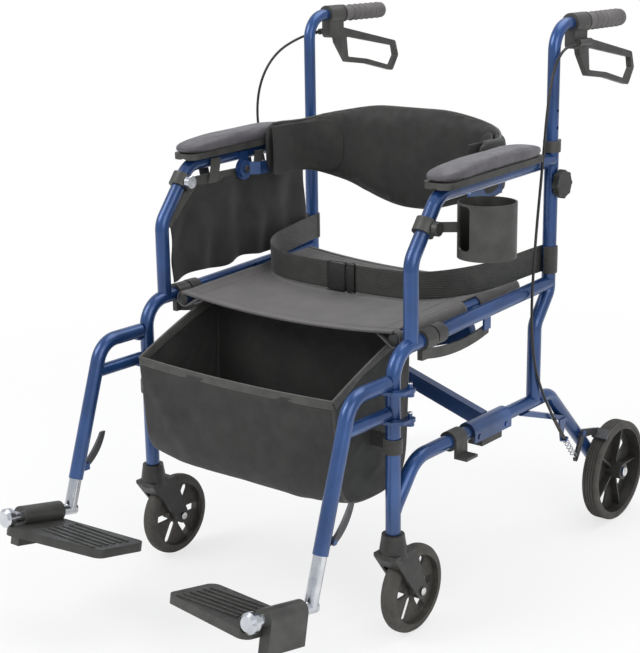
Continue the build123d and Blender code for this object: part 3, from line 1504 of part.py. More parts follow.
def footplate(extension):
    """Footplate with its housing round the bar, outer foot and lateral ribs."""
    base = bar_base(extension)
    floor = Plane(base + bar_up * (-foot_drop), x_dir=(-1, 0, 0), z_dir=tuple(bar_up))
    with BuildPart() as plate:
        with BuildSketch(floor):
            with BuildLine():
                FilletPolyline((0, foot_house_rear), (foot_reach, foot_inner_rear),
                               (foot_reach, foot_inner_front), (0, foot_outer_front),
                               radius=foot_t, close=True)
            make_face()
        extrude(amount=foot_t)
        with BuildSketch(bar_plane(base, foot_house_rear)):
            Circle(foot_house_r)
            with Locations((over - foot_house_r / 2, foot_house_drop / 2)):
                Rectangle(foot_house_r + 2 * over, foot_house_drop)
        extrude(amount=foot_house_front - foot_house_rear)
        step = (foot_inner_front - foot_inner_rear) / (foot_ribs + 1)
        top = Plane(base + bar_up * (foot_t - foot_drop), x_dir=(-1, 0, 0), z_dir=tuple(bar_up))
        with BuildSketch(top):
            for rib in range(foot_ribs):
                with Locations((foot_reach / 2 + foot_house_r,
                                foot_inner_rear + foot_house_rear / 2 + step * (rib + 1) - over)):
                    Rectangle(foot_reach - 4 * foot_house_r, foot_rib_w)
        extrude(amount=foot_rib_h)
        with BuildSketch(bar_plane(base, 0)):
            Circle(bar_r + run_gap)
        extrude(amount=bar_len - cap_len, mode=Mode.SUBTRACT)
        with BuildSketch(bar_plane(base, foot_house_front)):
            Circle(cap_r + over)
        extrude(amount=bar_len, mode=Mode.SUBTRACT)
    return plate.part


lean_dir = Vector(0, arm_lean_y - arm_front_y, arm_front_z - arm_low_z).normalized()


def clamp_centre(z):
    """Place on the armrest tube's leaning stretch at a height."""
    run = (z - arm_low_z) / (arm_front_z - arm_low_z)
    return Vector(half_width, arm_front_y + run * (arm_lean_y - arm_front_y), z)


def tube_clamp(centre, knob_side):
    """Split clamp round the leaning tube with the boss of its knob."""
    start = centre - lean_dir * (clamp_w / 2)
    with BuildPart() as clamp:
        with BuildSketch(Plane(start, x_dir=(1, 0, 0), z_dir=tuple(lean_dir))):
            Circle(tube_r + clamp_t)
        extrude(amount=clamp_w)
        boss_x = centre.X + knob_side * (tube_r + clamp_t)
        add(across(min(boss_x, boss_x - knob_side * clamp_t), clamp_t, centre.Y, centre.Z,
                   small_knob_r / 2 + over))
    return clamp.part


def cup_clamp():
    """Clamp on the left armrest tube with the bar that carries the cup holder."""
    centre = clamp_centre(clamp_z)
    far = Vector(cup_x, cup_y, clamp_z)
    way = Vector(far.X - centre.X, far.Y - centre.Y, 0).normalized()
    length = hypot(far.X - centre.X, far.Y - centre.Y)
    with BuildPart() as clamp:
        add(tube_clamp(centre, 1))
        with BuildSketch(Plane(centre + way * tube_r - Vector(0, 0, clamp_w / 3),
                               x_dir=tuple(way), z_dir=(0, 0, 1))):
            with Locations(((length - tube_r) / 2, 0)):
                Rectangle(length - tube_r, clamp_t)
        extrude(amount=2 * clamp_w / 3)
        add(upright_bar(cup_z - over, cup_h + 2 * over, cup_x, cup_y, cup_r), mode=Mode.SUBTRACT)
        add(side_rod(arm_route, [arm_bend_r, arm_bend_r], tube_r), mode=Mode.SUBTRACT)
        add(across(centre.X, tube_r + 2 * clamp_t, centre.Y, centre.Z, knob_stud_r + run_gap),
            mode=Mode.SUBTRACT)
        add(across(centre.X + tube_r + clamp_t, small_knob_t + clamp_t, centre.Y, centre.Z,
                   small_knob_r + face_gap), mode=Mode.SUBTRACT)
    return clamp.part


def arm_clamp():
    """Accessory clamp on the other armrest tube, its knob facing inwards."""
    centre = clamp_centre(arm_clamp_z)
    with BuildPart() as clamp:
        add(tube_clamp(centre, -1))
        add(side_rod(arm_route, [arm_bend_r, arm_bend_r], tube_r), mode=Mode.SUBTRACT)
        add(across(centre.X - tube_r - 2 * clamp_t, tube_r + 2 * clamp_t, centre.Y, centre.Z,
                   knob_stud_r + run_gap), mode=Mode.SUBTRACT)
    return clamp.part


def clamp_knob(centre, knob_side):
    """Round clamp knob with its stud."""
    face = tube_r + clamp_t + run_gap
    start = centre.X + face if knob_side > 0 else centre.X - face - small_knob_t
    stud = centre.X + tube_r + run_gap if knob_side > 0 else centre.X - face
    with BuildPart() as knob:
        add(across(start, small_knob_t, centre.Y, centre.Z, small_knob_r))
        chamfer(knob.edges(), over)
        add(across(stud, face - tube_r - run_gap, centre.Y, centre.Z, knob_stud_r))
    return knob.part


def cup_holder():
    """Open-sided cup holder with a drained floor."""
    with BuildPart() as cup:
        with BuildSketch(Plane.XY.offset(cup_z)):
            with Locations((cup_x, cup_y)):
                Circle(cup_r)
        extrude(amount=cup_h)
        with BuildSketch(Plane.XY.offset(cup_z + cup_wall)):
            with Locations((cup_x, cup_y)):
                Circle(cup_r - cup_wall)
        extrude(amount=cup_h, mode=Mode.SUBTRACT)
        half_gap = cup_r * sin(radians(cup_gap_angle / 2))
        gap_way = Vector(sin(radians(cup_gap_turn)), -cos(radians(cup_gap_turn)), 0)
        with BuildSketch(Plane((cup_x, cup_y, cup_z + cup_h / 2 + 2 * cup_wall),
                               x_dir=(0, 0, 1), z_dir=tuple(gap_way))):
            RectangleRounded(cup_h - 6 * cup_wall, 2 * half_gap, half_gap / 2)
        extrude(amount=2 * cup_r, mode=Mode.SUBTRACT)
        with BuildSketch(Plane.XY.offset(cup_z)):
            with Locations((cup_x, cup_y)):
                Circle(cup_r / 4)
        extrude(amount=cup_wall, mode=Mode.SUBTRACT)
    return cup.part


def storage_clip():
    """Snap clip on the left lower rail with two prongs."""
    with BuildPart() as clip:
        with BuildSketch(section_at(clip_y + clip_len / 2)):
            with Locations((half_width, rail_z)):
                Circle(tube_r + clip_t)
            with Locations((half_width + tube_r + clip_t / 2, rail_z - clip_prong / 2)):
                Rectangle(clip_t, clip_prong)
            with Locations((half_width + tube_r + clip_prong / 2, rail_z - clip_prong)):
                Rectangle(clip_prong, clip_t)
            with Locations((half_width, rail_z)):
                Circle(tube_r, mode=Mode.SUBTRACT)
            with Locations((half_width - tube_r, rail_z)):
                Rectangle(tube_r, tube_r, mode=Mode.SUBTRACT)
        extrude(amount=clip_len)
    return clip.part


for build in (side_frame, collar, height_knob, handle_post, hand_grip, brake_housing, brake_lever,
              brake_arm, brake_spring, armrest_base, armrest_pad, bearing_block, seat_cradle,
              backrest_arm, caster_fork, caster_wheel, rear_wheel, leg_hanger, release_lever):
    keep_pair(build.__name__, build())

tyre = tyre_section(wheel_r, tyre_t, tyre_w, tyre_round_r, groove_count)
keep_pair("rear_tyre", spin(tyre, wheel_x, axle_y, wheel_r))
keep("leg_tube", leg_tube(left_extension), 1)
keep("footplate", footplate(left_extension), 1)
keep("leg_tube", leg_tube(0), -1)
keep("footplate", footplate(0), -1)
keep("brake_cable", cable(left_cable, left_cable_radii), 1)
keep("brake_cable", cable(right_cable, right_cable_radii), -1)
keep("brace_arm_a", brace_arm(brace_y + brace_gap / 2, True))
keep("brace_arm_b", opposite(brace_arm(brace_y - brace_gap / 2 - brace_d, False)))
for build in (seat_sling, storage_bag, backrest_pad, seat_belt, belt_buckle, side_pouch,
              cup_holder, cup_clamp, storage_clip):
    keep(build.__name__, build())
keep("cup_knob", clamp_knob(clamp_centre(clamp_z), 1))
keep("arm_clamp", opposite(arm_clamp()))
keep("arm_clamp_knob", opposite(clamp_knob(clamp_centre(arm_clamp_z), -1)))

for name, piece in pieces.items():
    piece.label = name
    export_step(piece, f"parts/{name}.step")
    size = piece.bounding_box()
    print(name, round(piece.volume), "mm3", [round(v, 1) for v in (*size.min, *size.max)])
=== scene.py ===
"""Rollator transport chair: its finishes, soft goods, small fittings and studio.

Metres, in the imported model's frame: +Z is up, -Y is forward, +X is the seated person's
left, and the origin is on the floor midway between the wheels.
"""

import json
import logging
from dataclasses import dataclass
from enum import Enum
from math import pi, radians

import bmesh
import bpy
import numpy as np
from mathutils import Matrix, Vector


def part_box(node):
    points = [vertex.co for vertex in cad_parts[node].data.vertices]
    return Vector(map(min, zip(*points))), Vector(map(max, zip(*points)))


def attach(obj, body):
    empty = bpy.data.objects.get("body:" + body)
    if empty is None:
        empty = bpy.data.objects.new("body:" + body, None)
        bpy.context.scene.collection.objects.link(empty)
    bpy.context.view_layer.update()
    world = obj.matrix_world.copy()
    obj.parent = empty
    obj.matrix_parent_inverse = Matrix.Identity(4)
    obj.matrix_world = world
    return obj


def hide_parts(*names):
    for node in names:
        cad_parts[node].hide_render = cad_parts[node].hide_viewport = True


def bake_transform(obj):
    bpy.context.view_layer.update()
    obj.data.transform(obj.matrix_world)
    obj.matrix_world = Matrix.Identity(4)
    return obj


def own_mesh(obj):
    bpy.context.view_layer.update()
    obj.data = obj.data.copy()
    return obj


Piece = bpy.types.Object
Tree = bpy.types.NodeTree
Socket = bpy.types.NodeSocket

log = logging.getLogger("transport_chair")
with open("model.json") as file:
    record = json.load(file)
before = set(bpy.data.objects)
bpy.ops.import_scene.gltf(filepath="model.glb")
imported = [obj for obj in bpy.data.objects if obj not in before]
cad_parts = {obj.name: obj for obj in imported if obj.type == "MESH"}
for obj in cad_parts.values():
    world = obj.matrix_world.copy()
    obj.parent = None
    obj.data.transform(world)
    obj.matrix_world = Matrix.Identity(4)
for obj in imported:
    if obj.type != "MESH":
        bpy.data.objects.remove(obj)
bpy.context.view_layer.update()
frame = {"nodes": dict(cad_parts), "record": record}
SIDES = {1: "left", -1: "right"}
CABLE_LENGTHS = {1: 0.85, -1: 0.89}
ACROSS, ALONG, UP = (1.0, 0.0, 0.0), (0.0, 1.0, 0.0), (0.0, 0.0, 1.0)
TINY = 1e-9


# Grids, paths and meshes


def unit(rows: np.ndarray) -> np.ndarray:
    """Rows scaled to length one: each divided by its own length."""
    return rows / np.maximum(np.linalg.norm(rows, axis=-1, keepdims=True), TINY)


def walked(points: np.ndarray, axis: int = 0) -> np.ndarray:
    """The length walked to each point along one axis of a grid, from zero."""
    steps = np.linalg.norm(np.diff(points, axis=axis), axis=-1)
    return np.cumsum(np.insert(steps, 0, 0.0, axis=axis), axis=axis)


def linked(name: str, data: bpy.types.ID) -> Piece:
    """A new object at the origin that holds the data."""
    piece = bpy.data.objects.new(name, data)
    bpy.context.scene.collection.objects.link(piece)
    return piece


def baked(piece: Piece) -> bpy.types.Mesh:
    """A new mesh of the object as its modifiers or its curve give it."""
    graph = bpy.context.evaluated_depsgraph_get()
    return bpy.data.meshes.new_from_object(piece.evaluated_get(graph))


def vertices(mesh: bpy.types.Mesh) -> np.ndarray:
    """The places of a mesh's vertices, rows of three."""
    places = np.zeros(3 * len(mesh.vertices), np.float32)
    mesh.vertices.foreach_get("co", places)
    return places.reshape(-1, 3)


def surface(name: str, grid: np.ndarray, wrap: bool = False, cap: bool = False) -> Piece:
    """A mesh whose vertices are the grid's points, with a face between each four neighbours.

    The map of the surface is in metres: its first coordinate is the length walked along
    the rows, and its second the length walked across them.

    Args:
        name: the piece's name.
        grid: points, rows by columns by three.
        wrap: joins the last column to the first.
        cap: closes the first and the last row with one face each.

    Returns:
        The new object.
    """
    rows, columns = grid.shape[:2]
    across = columns if wrap else columns - 1
    i, j = np.meshgrid(np.arange(rows - 1), np.arange(across), indexing="ij")
    after = (j + 1) % columns
    faces = np.stack([i * columns + j, i * columns + after, (i + 1) * columns + after,
                      (i + 1) * columns + j], axis=-1).reshape(-1, 4).tolist()
    if cap:
        faces.append(np.arange(columns)[::-1].tolist())
        faces.append(((rows - 1) * columns + np.arange(columns)).tolist())
    mesh = bpy.data.meshes.new(name)
    mesh.from_pydata(grid.reshape(-1, 3).tolist(), [], faces)
    closed = np.concatenate([grid, grid[:, :1]], axis=1) if wrap else grid
    spots = np.stack([walked(closed, 0), walked(closed, 1)], axis=-1)
    corners = np.stack([spots[i, j], spots[i, j + 1], spots[i + 1, j + 1], spots[i + 1, j]],
                       axis=-2)
    flat = np.zeros(2 * len(mesh.loops), np.float32)
    flat[:corners.size] = corners.ravel()
    mesh.uv_layers.new(name="UVMap").data.foreach_set("uv", flat)
    return finish_mesh(name, mesh)


def finish_mesh(name: str, mesh: bpy.types.Mesh, sharp: float = 50.0) -> Piece:
    """Links a mesh as an object at the origin, smooth but for edges sharper than an angle.

    Args:
        name: the object's name.
        mesh: its mesh.
        sharp: the angle in degrees past which an edge stays crisp.

    Returns:
        The new object.
    """
    mesh.polygons.foreach_set("use_smooth", np.ones(len(mesh.polygons), bool))
    mesh.set_sharp_from_angle(angle=radians(sharp))
    return linked(name, mesh)


def face_outwards(piece: Piece) -> Piece:
    """Turns the faces of a closed mesh to point out."""
    work = bmesh.new()
    work.from_mesh(piece.data)
    bmesh.ops.recalc_face_normals(work, faces=work.faces)
    work.to_mesh(piece.data)
    work.free()
    return piece


def solid(name: str, grid: np.ndarray) -> Piece:
    """A closed surface out of rings of points, with its faces turned out."""
    return face_outwards(surface(name, grid, wrap=True, cap=True))


def smooth_path(points: np.ndarray, steps: int = 12) -> np.ndarray:
    """A quadratic B-spline through the middles of the route's runs.

    Each inner point pulls an arc, whose ends are the middles of its two runs, and the
    first and last arcs reach the route's own ends. A place on an arc is the weighted
    mean of its start, its pulling point and its end, with weights (1-t)^2, 2t(1-t), t^2.

    Args:
        points: the route, rows of three.
        steps: places on each arc.

    Returns:
        The places in order, rows of three.
    """
    middles = ((points[:-1] + points[1:]) / 2)[1:-1]
    starts = np.concatenate([points[:1], middles])[:, None]
    ends = np.concatenate([middles, points[-1:]])[:, None]
    t = np.linspace(0, 1, steps, endpoint=False)[None, :, None]
    arcs = (1 - t) ** 2 * starts + 2 * t * (1 - t) * points[1:-1][:, None] + t ** 2 * ends
    return np.concatenate([arcs.reshape(-1, 3), points[-1:]])


def spline_line(route: np.ndarray) -> np.ndarray:
    """Places along a NURBS spline of order three, whose control points are the route's.

    Args:
        route: the control points, rows of three.

    Returns:
        The places, as the curve with no bevel gives them.
    """
    curve = bpy.data.curves.new("cord_line", "CURVE")
    curve.dimensions = "3D"
    spline = curve.splines.new("NURBS")
    spline.points.add(len(route) - 1)
    spline.points.foreach_set("co", np.insert(route, 3, 1.0, axis=1).ravel())
    spline.order_u = 3
    spline.use_endpoint_u = True
    spline.resolution_u = 16
    holder = linked("cord_line", curve)
    bpy.context.view_layer.update()
    mesh = baked(holder)
    places = vertices(mesh).astype(float)
    bpy.data.objects.remove(holder)
    bpy.data.curves.remove(curve)
    bpy.data.meshes.remove(mesh)
    return places


def even_path(points: np.ndarray, count: int) -> np.ndarray:
    """The same line with places evenly spaced by length, worked out by interpolation."""
    length = walked(points)
    wanted = np.linspace(0, length[-1], count)
    return np.stack([np.interp(wanted, length, points[:, k]) for k in range(3)], axis=-1)


def carried(path: np.ndarray, profile: np.ndarray, side_like: np.ndarray | tuple) -> np.ndarray:
    """A profile carried along a path.

    At each place the profile's first coordinate runs along the direction nearest to
    side_like that is square to the path, and its second along the third direction.

    Args:
        path: places, rows of three.
        profile: rows of two, or one such set for each place.
        side_like: one direction, or one for each place.

    Returns:
        Points, places by profile by three.
    """
    ahead = unit(np.gradient(path, axis=0))
    wanted = np.broadcast_to(np.asarray(side_like, float), path.shape)
    side = unit(wanted - np.sum(wanted * ahead, axis=1, keepdims=True) * ahead)
    third = np.cross(ahead, side)
    shape = np.broadcast_to(profile, (len(path),) + profile.shape[-2:])
    return path[:, None] + shape[..., :1] * side[:, None] + shape[..., 1:] * third[:, None]


def oval(width: float, height: float, count: int, powers: tuple[float, float]) -> np.ndarray:
    """A superellipse: powers of the cosine and sine, squarer the further below one."""
    angle = np.linspace(0, 2 * pi, count, endpoint=False)
    c, s = np.cos(angle), np.sin(angle)
    return np.stack([width / 2 * np.sign(c) * np.abs(c) ** powers[0],
                     height / 2 * np.sign(s) * np.abs(s) ** powers[1]], axis=-1)


def ring(radius: float, count: int) -> np.ndarray:
    """Points on a circle about the origin: radius times cosine and sine of even angles."""
    angle = np.linspace(0, 2 * pi, count, endpoint=False)
    return radius * np.stack([np.cos(angle), np.sin(angle)], axis=-1)


def strap_profile(size: tuple[float, float], count: int = 16) -> np.ndarray:
    """A flat strap's section, from its width and its thickness."""
    return oval(*size, count, (0.35, 0.35))


def strap(name: str, path: np.ndarray, size: tuple[float, float],
          side_like: np.ndarray | tuple) -> Piece:
    """A flat strap along a path, with its width along side_like."""
    return solid(name, carried(path, strap_profile(size), side_like))


def tube(name: str, path: np.ndarray, radius: float, side_like: tuple, count: int = 8) -> Piece:
    """A round tube of one radius along a path, closed at both ends."""
    return solid(name, carried(path, ring(radius, count), side_like))


def turned(name: str, profile: np.ndarray, base: tuple, axis: tuple, count: int = 24) -> Piece:
    """A turned part: the profile's radius and height swept round an axis from a base point.

    Args:
        name: the piece's name.
        profile: rows of radius and height along the axis.
        base: where the axis starts.
        axis: its direction.
        count: points round.

    Returns:
        The new object, closed.
    """
    along = np.array(Vector(axis).normalized())
    first = np.array(Vector(axis).orthogonal().normalized())
    second = np.cross(along, first)
    circle = ring(1.0, count)
    round_it = circle[:, :1] * first + circle[:, 1:] * second
    return solid(name, np.array(base) + profile[:, 1, None, None] * along
                 + profile[:, 0, None, None] * round_it[None])


def joined(name: str, pieces: list[Piece]) -> Piece:
    """One mesh out of several objects, which are removed."""
    work = bmesh.new()
    for piece in pieces:
        work.from_mesh(piece.data)
        bpy.data.objects.remove(piece)
    mesh = bpy.data.meshes.new(name)
    work.to_mesh(mesh)
    work.free()
    return finish_mesh(name, mesh)


def stitches(name: str, path: np.ndarray, out: np.ndarray | tuple, pitch: float = 0.005,
             length: float = 0.0034, thick: float = 0.0011) -> Piece:
    """A row of thread stitches: short six-sided grains laid along a path at an even pitch.

    Args:
        name: the piece's name.
        path: the seam's line.
        out: the direction off the cloth, one or one for each place.
        pitch: from one stitch to the next.
        length: of one stitch.
        thick: its thickness across.

    Returns:
        One object with every stitch.
    """
    count = max(int(walked(path)[-1] / pitch), 2)
    line = even_path(path, count)
    off = np.broadcast_to(np.asarray(out, float), path.shape)
    share, old = np.arange(count) / (count - 1), np.linspace(0, 1, len(path))
    normal = unit(np.stack([np.interp(share, old, off[:, k]) for k in range(3)], axis=-1))
    ahead = unit(np.gradient(line, axis=0))
    side = unit(np.cross(normal, ahead))
    ends = np.array([-0.5, -0.25, 0.25, 0.5]) * length
    girth = np.array([0.3, 1.0, 1.0, 0.3]) * thick / 2
    sides, rings = 6, len(ends)
    circle = ring(1.0, sides)
    around = circle[None, :, :1] * side[:, None] + circle[None, :, 1:] * normal[:, None]
    grid = (line[:, None, None] + ends[None, :, None, None] * ahead[:, None, None]
            + girth[None, :, None, None] * around[:, None])
    a, b = np.arange(sides), (np.arange(sides) + 1) % sides
    quads = np.stack([np.stack([a, b, b + sides, a + sides], axis=-1) + r * sides
                      for r in range(rings - 1)]).reshape(-1, 4)
    faces = (quads[None] + rings * sides * np.arange(count)[:, None, None]).reshape(-1, 4)
    mesh = bpy.data.meshes.new(name)
    mesh.from_pydata(grid.reshape(-1, 3).tolist(), [], faces.tolist())
    return face_outwards(finish_mesh(name, mesh))


def map_by_box(piece: Piece) -> None:
    """Gives a mesh a map in metres, each face laid flat along the axis it faces most."""
    mesh = piece.data
    normals = np.zeros(3 * len(mesh.polygons), np.float32)
    mesh.polygons.foreach_get("normal", normals)
    corner_vertex = np.zeros(len(mesh.loops), np.int32)
    mesh.loops.foreach_get("vertex_index", corner_vertex)
    sizes = np.zeros(len(mesh.polygons), np.int32)
    mesh.polygons.foreach_get("loop_total", sizes)
    facing = np.repeat(np.abs(normals.reshape(-1, 3)).argmax(axis=1), sizes)
    pair = np.array([[1, 2], [0, 2], [0, 1]])[facing]
    spots = np.take_along_axis(vertices(mesh)[corner_vertex], pair, axis=1)
    layer = mesh.uv_layers.get("UVMap") or mesh.uv_layers.new(name="UVMap")
    layer.data.foreach_set("uv", spots.ravel().astype(np.float32))


def swell(piece: Piece, voxel: float, pressure: float, cap: float, frames: int = 20) -> None:
    """Fills a closed cover as its foam does: cloth under inner pressure, without gravity.

    The mesh is remeshed to even cells, run as cloth, and each point's move is cut to a
    cap, so that the cover stays near its pattern.

    Args:
        piece: the cover, closed and slightly smaller than the finished pad.
        voxel: the size of a cell.
        pressure: inside the cover.
        cap: the furthest that a point may move.
        frames: steps of the simulation.
    """
    remesh = piece.modifiers.new("even_cells", "REMESH")
    remesh.mode = "VOXEL"
    remesh.voxel_size = voxel
    even = baked(piece)
    piece.modifiers.remove(remesh)
    piece.data = even
    start = vertices(even)
    cloth = piece.modifiers.new("filled_cover", "CLOTH")
    cloth.settings.quality = 5
    cloth.settings.mass = 0.3
    cloth.settings.tension_stiffness = 15
    cloth.settings.compression_stiffness = 15
    cloth.settings.bending_stiffness = 2
    cloth.settings.use_pressure = True
    cloth.settings.uniform_pressure_force = pressure
    cloth.settings.effector_weights.gravity = 0
    cloth.point_cache.frame_start = 1
    cloth.point_cache.frame_end = frames
    for step in range(1, frames + 1):
        bpy.context.scene.frame_set(step)
    filled = baked(piece)
    piece.modifiers.remove(cloth)
    move = vertices(filled) - start
    far = np.linalg.norm(move, axis=1, keepdims=True)
    kept = start + move * np.minimum(1, cap / np.maximum(far, TINY))
    filled.vertices.foreach_set("co", kept.ravel().astype(np.float32))
    filled.update()
    piece.data = filled
    bpy.context.scene.frame_set(1)


def subdivide(piece: Piece) -> None:
    """Adds a subdivision surface with the same level in view and in render."""
    smooth = piece.modifiers.new("smooth_cover", "SUBSURF")
    smooth.levels = smooth.render_levels = 1


def thicken(piece: Piece, thick: float, offset: float = 0.0) -> None:
    """Gives a single sheet its thickness about its middle, or to one side of it."""
    wall = piece.modifiers.new("cloth_thickness", "SOLIDIFY")
    wall.thickness = thick
    wall.offset = offset


# Finishes


def linear(code: str) -> tuple[float, float, float, float]:
    """An sRGB hex colour as linear light, by the two-part sRGB curve."""
    channels = [int(code[k:k + 2], 16) / 255 for k in (1, 3, 5)]
    return tuple(c / 12.92 if c <= 0.04045 else ((c + 0.055) / 1.055) ** 2.4
                 for c in channels) + (1.0,)


def add_node(tree: Tree, kind: str, inputs: dict | None = None, **settings) -> bpy.types.Node:
    """Adds one node with its settings, constants and links.

    Args:
        tree: where it goes.
        kind: its type, without the common first word.
        inputs: from input name or number to a constant, or to the socket that feeds it.
        settings: its own properties.

    Returns:
        The node.
    """
    node = tree.nodes.new("ShaderNode" + kind)
    for key, value in settings.items():
        setattr(node, key, value)
    for key, value in (inputs or {}).items():
        if isinstance(value, Socket):
            tree.links.new(value, node.inputs[key])
        else:
            node.inputs[key].default_value = value
    return node


def noise(tree: Tree, place: Socket, scale: float, detail: float, rough: float = 0.5) -> Socket:
    """Noise between nought and one."""
    return add_node(tree, "TexNoise", {"Vector": place, "Scale": scale, "Detail": detail,
                                       "Roughness": rough}).outputs["Fac"]


def cells(tree: Tree, place: Socket, size: float, output: str, **settings) -> Socket:
    """Irregular cells of one size: their colour, or the distance to their middle."""
    return add_node(tree, "TexVoronoi", {"Vector": place, "Scale": 1 / size},
                    **settings).outputs[output]


def sum_of(tree: Tree, operation: str, *inputs: Socket | float) -> Socket:
    """One operation of arithmetic on sockets and numbers."""
    return add_node(tree, "Math", dict(enumerate(inputs)), operation=operation).outputs[0]


def ranged(tree: Tree, value: Socket, start: float, end: float, low: float = 0.0,
           high: float = 1.0) -> Socket:
    """A value mapped from start and end to low and high, and held between these."""
    return add_node(tree, "MapRange", {0: value, 1: start, 2: end, 3: low, 4: high}).outputs[0]


def tinted(tree: Tree, share: Socket, base: Socket | tuple, code: str) -> Socket:
    """A base colour with a share of another colour laid over it.

    The node's sockets go by number: 6, 7 and the output 2 are those for colours.
    """
    return add_node(tree, "Mix", {0: share, 6: base, 7: linear(code)},
                    data_type="RGBA").outputs[2]


class Coords(Enum):
    """Which coordinates a finish reads."""

    OBJECT = "Object"
    SURFACE = "UV"


@dataclass(frozen=True)
class Finish:
    """What every finish has: colours it wanders between, gloss, and a fine relief.

    patch is the size of its colour patches and grain that of its relief, in metres.
    """

    name: str
    deep: str
    pale: str
    gloss: tuple[float, float] = (0.4, 0.55)
    metallic: float = 0.0
    patch: float = 0.05
    grain: float = 0.0015
    relief: float = 0.15
    depth: float = 0.0003
    coat: float = 0.0
    coat_gloss: float = 0.15
    sheen: float = 0.0
    sheen_gloss: float = 0.5
    level: float = 0.5
    worn: str = ""
    worn_share: float = 0.0
    coords: Coords = Coords.OBJECT

    def height(self, tree: Tree, place: Socket) -> Socket:
        """The relief's height: fine grain from noise of the grain's size."""
        return noise(tree, place, 1 / self.grain, 3.0, 0.6)

    def colour(self, tree: Tree, place: Socket, height: Socket) -> Socket:
        """The colour: deep to pale by soft patches, and a pale tone on raised edges: wear on most
        finishes, a painted highlight on the buckle.
        """
        patches = noise(tree, place, 1 / self.patch, 4.0, 0.55)
        mixed = tinted(tree, ranged(tree, patches, 0.3, 0.7), linear(self.deep), self.pale)
        if not self.worn:
            return mixed
        # raised edges take the pale tone: real wear on most finishes, a painted highlight on the
        # buckle's edges
        edge = add_node(tree, "NewGeometry").outputs["Pointiness"]
        raised = ranged(tree, edge, 0.53, 0.62, high=self.worn_share)
        return tinted(tree, sum_of(tree, "MULTIPLY", raised, patches), mixed, self.worn)

    def material(self) -> bpy.types.Material:
        """The finish as a material, built once."""
        made = bpy.data.materials.get(self.name)
        if made:
            return made
        made = bpy.data.materials.new(self.name)
        tree = cleared(made)
        place = add_node(tree, "TexCoord").outputs[self.coords.value]
        height = self.height(tree, place)
        colour = self.colour(tree, place, height)
        smudge = noise(tree, place, 2.5 / self.patch, 2.0)
        bump = add_node(tree, "Bump", {"Height": height, "Strength": self.relief,
                                       "Distance": self.depth})
        shader = add_node(tree, "BsdfPrincipled", {
            "Base Color": colour, "Roughness": ranged(tree, smudge, 0.3, 0.7, *self.gloss),
            "Normal": bump.outputs["Normal"], "Metallic": self.metallic,
            "Coat Weight": self.coat, "Coat Roughness": self.coat_gloss,
            "Sheen Weight": self.sheen, "Sheen Roughness": self.sheen_gloss,
            "Specular IOR Level": self.level})
        add_node(tree, "OutputMaterial", {"Surface": shader.outputs["BSDF"]})
        return made


@dataclass(frozen=True)
class PowderCoat(Finish):
    """Metallic powder coat on steel tube: deep colour under a gloss skin with orange peel.

    Fine flakes lift the colour in small bright specks, and the bends show a rubbed tone.
    """

    flake: float = 0.0016

    def colour(self, tree: Tree, place: Socket, height: Socket) -> Socket:
        """The patches of the base, lifted by flakes in cells of the flake's drawn size."""
        base = super().colour(tree, place, height)
        flakes = cells(tree, place, self.flake, "Color")
        return tinted(tree, ranged(tree, flakes, 0.6, 1.0, high=0.35), base, self.pale)


@dataclass(frozen=True)
class DrawnMetal(Finish):
    """Drawn, polished aluminium or zinc-plated steel: bright, with fine lines along it."""

    lines: float = 0.0009

    def height(self, tree: Tree, place: Socket) -> Socket:
        """Lines: noise stretched eighty times along the upright axis."""
        stretched = add_node(tree, "Mapping", {"Vector": place, "Scale": (1.0, 1.0, 1 / 80)})
        return noise(tree, stretched.outputs[0], 1 / self.lines, 2.0)


@dataclass(frozen=True)
class WovenCloth(Finish):
    """Plain-woven polyester or nylon: threads over and under, with a coated back.

    The threads are drawn wider than they are, because the real ones are finer than a
    pixel of the picture.
    """

    thread: float = 0.0022
    coords: Coords = Coords.SURFACE

    def wave(self, tree: Tree, place: Socket, axis: int, length: float) -> Socket:
        """A sine of one wave length along one axis of the surface."""
        split = add_node(tree, "SeparateXYZ", {0: place}).outputs[axis]
        return sum_of(tree, "SINE", sum_of(tree, "MULTIPLY", split, 2 * pi / length))

    def height(self, tree: Tree, place: Socket) -> Socket:
        """Crests where warp and weft cross: the sine along times the sine across."""
        waves = [self.wave(tree, place, axis, self.thread) for axis in (0, 1)]
        return sum_of(tree, "ADD", sum_of(tree, "MULTIPLY", *waves),
                      noise(tree, place, 1 / self.grain, 3.0))

    def colour(self, tree: Tree, place: Socket, height: Socket) -> Socket:
        """The patches of the base, with the thread crests a little paler."""
        base = super().colour(tree, place, height)
        return tinted(tree, ranged(tree, height, 0.2, 1.6, high=0.3), base, self.pale)


@dataclass(frozen=True)
class RibbedWebbing(WovenCloth):
    """Woven polypropylene webbing: ribs that run along it, tight and slightly shiny."""

    rib: float = 0.004

    def height(self, tree: Tree, place: Socket) -> Socket:
        """Ribs: the sine of the place across the strap, roughened by the weave."""
        ribs = self.wave(tree, place, 1, self.rib)
        return sum_of(tree, "ADD", ribs, super().height(tree, place))


@dataclass(frozen=True)
class Leathercloth(Finish):
    """Vinyl leathercloth over foam: pebbled grain in rounded cells, satin gloss."""

    def height(self, tree: Tree, place: Socket) -> Socket:
        """Pebbles: the distance to the middle of irregular cells of the grain's size."""
        return cells(tree, place, self.grain, "Distance", feature="SMOOTH_F1")


@dataclass(frozen=True)
class CastRubber(Finish):
    """Cast polyurethane or soft PVC: matt, slightly dusty, with a moulded grain."""

    dust: str = "#6e6a66"

    def colour(self, tree: Tree, place: Socket, height: Socket) -> Socket:
        """The patches of the base, with pale dust in the hollows of the grain."""
        base = super().colour(tree, place, height)
        return tinted(tree, ranged(tree, height, 0.45, 0.25, high=0.35), base, self.dust)


